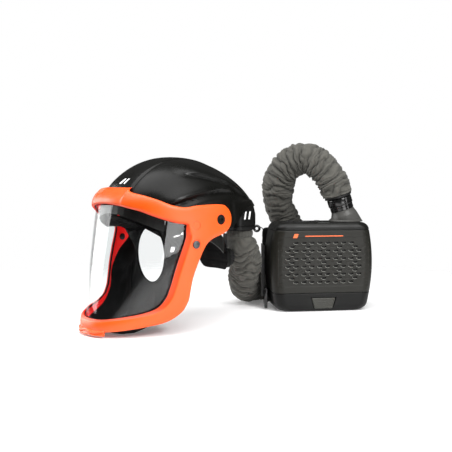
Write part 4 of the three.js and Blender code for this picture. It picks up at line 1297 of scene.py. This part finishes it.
# ---------------------------------------------------------------- blower
BODY = {"half_width": 103, "half_depth": 48, "middle": 92, "height": 174}
BODY |= {"corner": 22, "foot": 14, "shoulder": 12}  # the radii of its corners, lower edge and upper edge
BATTERY_TOP = 36.4
CAP_BOTTOM = 159.6
COVER_BACK = -28
WALL = 3
LOUVRE = {"rows": 11, "pitch": 15.8, "rise": 7.65, "bottom": 58.5, "half_width": 4.9, "half_height": 2.2}


def bulge_at(z):
    """How far a height is from the body's widest level, squared."""
    return ((z - BODY["middle"]) / 75) ** 2


def fillet(radius, past):
    """How far a round edge has drawn in, that far past its start."""
    return radius - math.sqrt(radius**2 - max(0.0, past) ** 2)


def body_outline(z, inset=0.0, per_corner=24):
    """The body's rounded rectangle at a height, drawn in over its foot and its shoulder."""
    foot, shoulder = BODY["foot"], BODY["shoulder"]
    draw = fillet(foot, foot - z) + fillet(shoulder, z - BODY["height"] + shoulder)
    half_x = BODY["half_width"] - 8 * bulge_at(z) - draw - inset
    half_y = BODY["half_depth"] - 1.5 * bulge_at(z) - 0.6 * draw - inset
    outline = rounded_outline(half_x, half_y, BODY["corner"] - inset, per_corner)
    return np.column_stack([outline, np.full(len(outline), z)])


def body_block(name, levels):
    """A closed slice of the body. Levels are (height, inset) pairs from the bottom up."""
    return loft(name, [body_outline(z, inset) for z, inset in levels], in_blower, sharp=30)


def side_of_wall(z, inset, keep_front, columns):
    """The part of the body's outline in front of, or behind, the cover's parting plane, in even steps."""
    outline = body_outline(z, inset)[:, :2]
    start = int(np.argmax(outline[:, 1])) if keep_front else int(np.argmin(outline[:, 1]))
    outline = np.roll(outline, -start, axis=0)
    dense = even_steps(np.vstack([outline, outline[:1]]), 0.25)
    kept = dense[:, 1] < COVER_BACK - GAP if keep_front else dense[:, 1] > COVER_BACK
    return np.column_stack([resampled(dense[kept], columns), np.full(columns, z)])


def louvre_columns(row):
    """The places of a row's open louvres, and of the blind dimples that carry its pattern on to each side."""
    if row % 2:
        return [c + 0.5 for c in range(0, 9, 2)], [c + 0.5 for c in range(-1, 10, 2)]
    short = row in (0, LOUVRE["rows"] - 1)
    return (range(1, 9) if short else range(10)), (-1, 10)


def louvre_depths(x, z):
    """How deep each louvre's slot goes and how far its hood stands out, over the cover's front."""
    slot, hood, dimple = np.zeros_like(x), np.zeros_like(x), np.zeros_like(x)

    def from_middle(column, row):
        u = (x - (column - 4.5) * LOUVRE["pitch"]) / LOUVRE["half_width"]
        return u, (z - LOUVRE["bottom"] - row * LOUVRE["rise"]) / LOUVRE["half_height"]

    for row in range(LOUVRE["rows"]):
        open_columns, blind_columns = louvre_columns(row)
        for column in open_columns:
            u, v = from_middle(column, row)
            v = v - 0.15 * u
            inside = 1 - np.abs(u) ** 1.8 - np.abs(v) ** 1.5
            slot = np.maximum(slot, smooth_step(0.0, 0.4, inside))
            rim = bump_at(inside, -0.35, 0.4) * smooth_step(-0.2, 0.9, -0.55 * u - 0.85 * v)
            hood = np.maximum(hood, rim)
        for column in blind_columns:
            u, v = from_middle(column, row)
            dimple = np.maximum(dimple, smooth_step(0, 0.6, 1 - u**2 - v**2))
    return slot, hood, dimple


def wall_levels(low, high, count):
    """Heights with a small bevel at each end, as (height, inset) pairs."""
    middle = [(z, 0) for z in np.linspace(low + 1.2, high - 1.2, count)]
    return [(low, 1.0), (low + 0.4, 0.35), *middle, (high - 0.4, 0.35), (high, 1.0)]


def wall_sides(rows, columns, keep_front):
    """The outer and inner points of the body's wall between the battery and the cap."""
    levels = wall_levels(BATTERY_TOP + GAP, CAP_BOTTOM - GAP, rows)
    for depth in (0, WALL):
        yield np.array([side_of_wall(z, depth + inset, keep_front, columns) for z, inset in levels])


def filter_cover():
    """The removable front: a wall with rows of hooded louvres on a slightly sunken panel."""
    outer, inner = wall_sides(190, 420, True)
    x, y, z = np.moveaxis(outer, 2, 0)
    slot, hood, dimple = louvre_depths(x, z)
    facing = smooth_step(-38, -44, y)
    panel = smooth_step(91, 89.5, np.abs(x)) * smooth_step(49, 51, z) * smooth_step(147, 145, z)
    outer[..., 1] += facing * (2.2 * slot - 1.7 * hood + 0.35 * dimple + 0.5 * panel)
    cover = thin_shell("filter_cover_moulding", in_blower(outer), in_blower(inner), sharp=40)
    # the slot and hood masks also go to the material, for its painted shade in the slots and painted highlight on
    # the hoods
    for name, value in (("slot", slot), ("hood", hood)):
        mark_points(cover, name, np.concatenate([(value * facing).reshape(-1), np.zeros(x.size)]))
    finish_piece(cover, "front_cover", "casing", "filter_cover", look="louvred_casing")


def cover_marks():
    """A plain orange square mark and line above the louvres."""

    def on_cover(u, v, out):
        return np.array([u, 1.5 * bulge_at(v) - BODY["half_depth"] - out, v])

    square = ((-62, 145), (-54, 145), (-51, 153), (-59, 153))
    line = ((-38, 147.5), (38, 147.5), (38, 149.3), (-38, 149.3))
    for name, corners in (("mark", square), ("line", line)):
        printed(f"cover_print_{name}", corners, on_cover, in_blower, "front_cover", "orange_print", "casing")


def blower_wall():
    """The rear shell of the blower."""
    outer, inner = wall_sides(40, 200, False)
    wall = thin_shell("blower_rear_moulding", in_blower(outer), in_blower(inner), sharp=40)
    finish_piece(wall, "root", "casing", "blower_housing")


def top_cap():
    """The cap that closes the blower, flat on top."""
    rows = [(CAP_BOTTOM, 1.0), (CAP_BOTTOM + 0.4, 0.35), (CAP_BOTTOM + 1.2, 0)]
    rows += [(z, 0) for z in np.linspace(162, 173.4, 16)] + [(173.7, 1.5), (173.8, 4)]
    cap = body_block("blower_top_cap", rows)
    finish_piece(cap, "root", "casing", "top_cap")


def battery_case():
    """The battery's case, with a pocket in its front for the catch."""
    middle = [(z, 0) for z in np.linspace(1.5, BATTERY_TOP - 1.2, 26)]
    levels = [(0, 2.0), (0.3, 0.8), (0.9, 0), *middle, (BATTERY_TOP - 0.4, 0.35), (BATTERY_TOP, 1.0)]
    case = body_block("battery_case_moulding", levels)
    corners = ((-26.2, 28.2), (-19.4, 4.7), (19.4, 4.7), (26.2, 28.2))
    cut_away(case, [loft("cutter", [[(x, y, z) for x, z in corners] for y in (-52, -43.2)], in_blower)])
    finish_piece(case, "battery", "casing", "battery_case", look="black_plastic")


def battery_latch():
    """The trapezoid catch on the battery's front, with a raised rim and three finger ribs."""
    body, rim = [(-39.5, 0), (-45.6, 0), (-46.4, 0.5)], [(-46.8, 1.3), (-46.8, 2.6), (-46.1, 3.2), (-46.1, 5)]
    rows = []
    for y, shrink in body + rim:
        wide, narrow, top, bottom = 24 - shrink, 18 - 0.7 * shrink, 27 - shrink, 6 + shrink
        corners = np.array([(-wide, top), (-narrow, bottom), (narrow, bottom), (wide, top)])
        ring = []
        for i, corner in enumerate(corners):
            start = corner + 3 * unit(corners[i - 1] - corner)
            end = corner + 3 * unit(corners[(i + 1) % 4] - corner)
            for t in np.linspace(0, 1, 7):
                x, z = start * (1 - t) ** 2 + 2 * corner * t * (1 - t) + end * t**2
                ring.append((x, y, z))
        rows.append(ring)
    latch = loft("battery_latch_moulding", rows, in_blower)
    finish_piece(latch, "battery_key", "casing", "battery_latch", look="casing_light")
    for i in range(3):
        low, half = 12 + 4 * i, 11 + 1.2 * i
        box = ((-half, -46.9, low), (half, -45.9, low + 1.2))
        rib = rounded_box(f"battery_latch_rib_{i + 1}", *box, 0.45, in_blower)
        finish_piece(rib, "battery_key", "casing", look="casing_light")


def top_controls():
    """The cover's latch button, and the panel with its gauge window and two domed buttons."""
    latch = rounded_box("cover_latch_button", (-13.4, -42, 168.6), (13.4, -30, 176), 1.8, in_blower, 4)
    finish_piece(latch, "latch_button", "casing", "cover_latch")
    panel = rounded_box("control_panel_plate", (-71.6, -16.6, 172.9), (13.6, 18.6, 174.6), 0.6, in_blower)
    buttons = {"power": (-56, 1, 0), "flow": (-2, 1, 0)}
    hole = [(0, 172), (7.5, 172), (7.5, 176), (0, 176)]
    cut_away(panel, [turned("cutter", hole, in_blower, start=start) for start in buttons.values()])
    finish_piece(panel, "root", "black_plastic", "control_panel")
    window = rounded_box("battery_gauge_window", (-43, -6, 174.2), (-15, 8, 174.9), 0.3, in_blower)
    finish_piece(window, "root", "black_gloss")
    dome = [(0, 166), (6.9, 166), (7, 174.8), (6.7, 175.6)]
    dome += [(5.8, 176.2), (4.4, 176.4), (2.5, 176.1), (0, 175.9)]
    for name, start in buttons.items():
        key = turned(f"{name}_button_dome", dome, in_blower, start=start)
        finish_piece(key, f"{name}_key", "rubber", f"{name}_button", look="rubber")


def outlet_neck():
    """The tapered neck on the cap, leaning to the left, with a flared oval foot."""
    turns = full_turn(120)
    foot_z = BODY["height"] + GAP

    def foot(half_x, half_y, rise):
        return np.array([(57 + half_x * math.cos(t), half_y * math.sin(t), foot_z + rise) for t in turns])

    def ring(along, radius):
        return np.array([neck_point(along) + radius * round_neck(t) for t in turns])

    rows = [foot(34.4, 26.4, 0), foot(34.6, 26.6, 1.0), foot(34, 26, 2.0)]
    start, end = foot(33.2, 25.2, 2.8), ring(-11, 26.4)
    rows += [start * (1 - t) + end * t for t in np.linspace(0, 1, 12)]
    outside = [(-9, 25.6), (-6, 24.2), (-3, 23.2), (-1.4, 22.9), (-1.0, 22.3), (-0.3, 22.3)]
    bore = [(-0.3, NECK["radius"] - NECK["wall"]), (-11, 21.8)]
    rows += [ring(along, radius) for along, radius in outside + bore] + [foot(22, 20, 0)]
    neck = closed_loft("outlet_neck_moulding", rows, in_blower)
    finish_piece(neck, "root", "casing", "outlet_neck", look="neck_grey")


def bayonet_collar():
    """The glossy locking collar: a plain band, a fine groove and a raised ring with grip flats."""
    bore, r = NECK["radius"] - NECK["wall"], NECK["radius"] + 0.6
    band = [(bore, 0), (r - 0.5, 0), (r, 0.5), (r, 5.2), (r - 0.6, 5.7), (r - 0.6, 6.5), (r, 7), (r, 9.6)]
    grip = [(r + 1.1, 10.8), (r + 1.4, 12), (r + 1.4, 23.4), (r + 0.9, 24.6)]
    rim = [(r - 0.3, 25.6), (r - 1.6, NECK["collar"]), (bore, NECK["collar"])]

    def flats(turn, corner):
        return 1 + (0.004 * max(0, math.cos(8 * turn)) ** 0.5 if corner in (9, 10) else 0)

    place = {"start": neck_point(0), "axis": NECK_AXIS}
    collar = turned("bayonet_collar_ring", band + grip + rim, in_blower, segments=240, shape=flats, **place)
    finish_piece(collar, "collar", "black_gloss", "bayonet_collar")


filter_cover()
cover_marks()
blower_wall()
top_cap()
battery_case()
battery_latch()
top_controls()
outlet_neck()
bayonet_collar()


# ---------------------------------------------------------------- belt and pad
def back_pad():
    """The padded plate between the blower and the wearer's back."""
    half = [(20, 0), (60, 0), (96, 1), (101, 3.5), (104, 7)]
    rows = []
    for x, shrink in [(-x, shrink) for x, shrink in half[::-1]] + half:
        z, y = rounded_outline(45 - shrink, 5.0 - 0.3 * shrink, 4.4 - 0.3 * shrink, 6).T
        rows.append(np.column_stack([np.full(len(y), x * 0.985), y + BODY["half_depth"] + 10.4, z + 116]))
    pad = loft("back_pad_cushion", rows, in_blower, sharp=80)
    plump(pad, cap=0.004)
    quilt(pad, [0.095, 0.116, 0.137])
    finish_piece(pad, "root", "padded_cloth", "back_pad")


def belt():
    """The webbing behind the blower and its loose end with the buckle."""
    points = [(-100, 43, 22), (-98, 53, 22), (-90, 63, 22), (-78, 68.4, 24)]
    points += [(-50, 68.6, 36), (0, 68.6, 62), (50, 68.6, 92), (96, 68.6, 118)]
    right = flat_strap("belt_webbing_right", catmull(points, 90), 38, 2.2, (0, 0, 1), in_blower, ridges=9)
    finish_piece(right, "root", "webbing", "belt_strap_right")
    points = [(75, 45, 24), (75, 50, 60), (75, 58, 95), (75, 66, 126)]
    left = flat_strap("belt_webbing_left", catmull(points, 50), 36, 2, (0.22, 0.97, 0), in_room, ridges=8)
    finish_piece(left, "root", "webbing", "belt_strap_left")


def buckle():
    """A side-release buckle: the socket with its release slots, and the plug with its strap bar."""
    socket = rounded_box("buckle_socket_moulding", (76.6, 28, 2), (82.6, 52, 42), 1.4, in_room)
    cut_away(socket, [rounded_box("cutter", (75, 38, z), (90, 48, z + 6), 0.6, in_room) for z in (-1, 39)])
    finish_piece(socket, "root", "black_plastic", "buckle_socket", look="black_gloss")
    plug = rounded_box("buckle_plug_moulding", (76.8, 52.3, 4), (82.2, 76, 40), 1.2, in_room)
    cut_away(plug, [rounded_box("cutter", (70, 64, 8), (90, 70, 36), 1.0, in_room)])
    finish_piece(plug, "root", "black_plastic", "buckle_plug", look="black_gloss")


def strap_ring():
    """The small round loop behind the helmet, with the webbing tab that holds it."""
    middle, radius, wire = np.array([63.6, 92, 157]), 5.4, 2.6
    rows = []
    for turn in full_turn(64):
        outward = np.array([math.cos(turn), 0, math.sin(turn)])
        section = [outward * math.cos(s) + np.array([0, 1, 0]) * math.sin(s) for s in full_turn(14)]
        rows.append([middle + outward * radius + wire * side for side in section])
    loop = closed_loft("strap_ring_loop", rows, in_room)
    finish_piece(loop, "root", "black_plastic", "strap_ring", look="black_gloss")
    path = catmull([(68.2, 92, 158.6), (71.6, 92, 159.2), (75, 94, 157), (79, 98, 151), (83, 101, 145)], 20)
    tab = flat_strap("strap_ring_tab", path, 12, 1.6, (0, 1, 0), in_room, ridges=3)
    finish_piece(tab, "root", "webbing")


back_pad()
belt()
buckle()
strap_ring()


# ---------------------------------------------------------------- floor and light
def make_floor():
    """A pale floor that fades out into the plain background."""
    floor = surface("floor", np.array([[(x, y, -0.0004) for x in (-3, 3)] for y in (-3, 3)]))
    glow = {"Emission_Color": (1, 1, 1, 1), "Emission_Strength": 0.13}
    look = Look("floor_paint", (0.93, 0.93, 0.93), 0.75, Specular_IOR_Level=0.1, **glow)
    look.tint(look.ranged(look.noise(3, 3), 0.3, 0.7, 0, 0.3), (0.95, 0.95, 0.95))
    distance = look.node("VectorMath")
    distance.operation = "LENGTH"
    look.link(look.place, distance.inputs[0])
    fade = look.ranged(distance.outputs["Value"], 0.35, 0.95)
    look.mix_into_output(fade, look.shader, look.node("BsdfTransparent"))
    floor.data.materials.append(look.material)


def soft_light(name, place, size, watts, aim=(0, 0, 0.12)):
    """A rectangular panel of light, turned towards the aim."""
    data = bpy.data.lights.new(name, "AREA")
    data.shape = "RECTANGLE"
    data.size, data.size_y = size
    data.energy = watts
    light = bpy.data.objects.new(name, data)
    light.location = place
    light.rotation_euler = (Vector(aim) - Vector(place)).to_track_quat("-Z", "Y").to_euler()
    bpy.context.scene.collection.objects.link(light)


def make_world():
    """A white room: bright where the camera looks at it, softer as a light."""
    world = bpy.data.worlds.new("studio")
    bpy.context.scene.world = world
    world.use_nodes = True
    tree = world.node_tree
    link = tree.links.new
    seen = fill_in(tree.nodes["Background"], {"Color": (1, 1, 1, 1), "Strength": 1.0})
    light = add_node(tree, "Background", Color=(1, 1, 1, 1))
    direction = add_node(tree, "SeparateXYZ")
    height = add_node(tree, "MapRange", From_Min=0.1, To_Min=0.03, To_Max=0.2)
    link(add_node(tree, "TexCoord").outputs["Generated"], direction.inputs["Vector"])
    link(direction.outputs["Z"], height.inputs["Value"])
    link(height.outputs["Result"], light.inputs["Strength"])
    mix = add_node(tree, "MixShader")
    link(add_node(tree, "LightPath").outputs["Is Camera Ray"], mix.inputs["Fac"])
    link(light.outputs["Background"], mix.inputs[1])
    link(seen.outputs["Background"], mix.inputs[2])
    link(mix.outputs["Shader"], tree.nodes["World Output"].inputs["Surface"])


def make_lights():
    soft_light("key_above", (-0.2, -0.4, 1.5), (1.9, 1.3), 38)
    soft_light("front_right", (0.72, -1.06, 0.98), (0.4, 0.45), 16)
    soft_light("right_strip", (1.15, -0.55, 0.5), (0.1, 0.8), 2)
    soft_light("left_edge", (-1.2, 0.4, 0.42), (0.75, 0.8), 12)
    soft_light("visor_panel", (0.48, -0.75, 0.1), (0.5, 0.24), 2, aim=(-0.15, -0.1, 0.12))


make_floor()
make_world()
make_lights()
bpy.context.scene.view_settings.view_transform = "Standard"
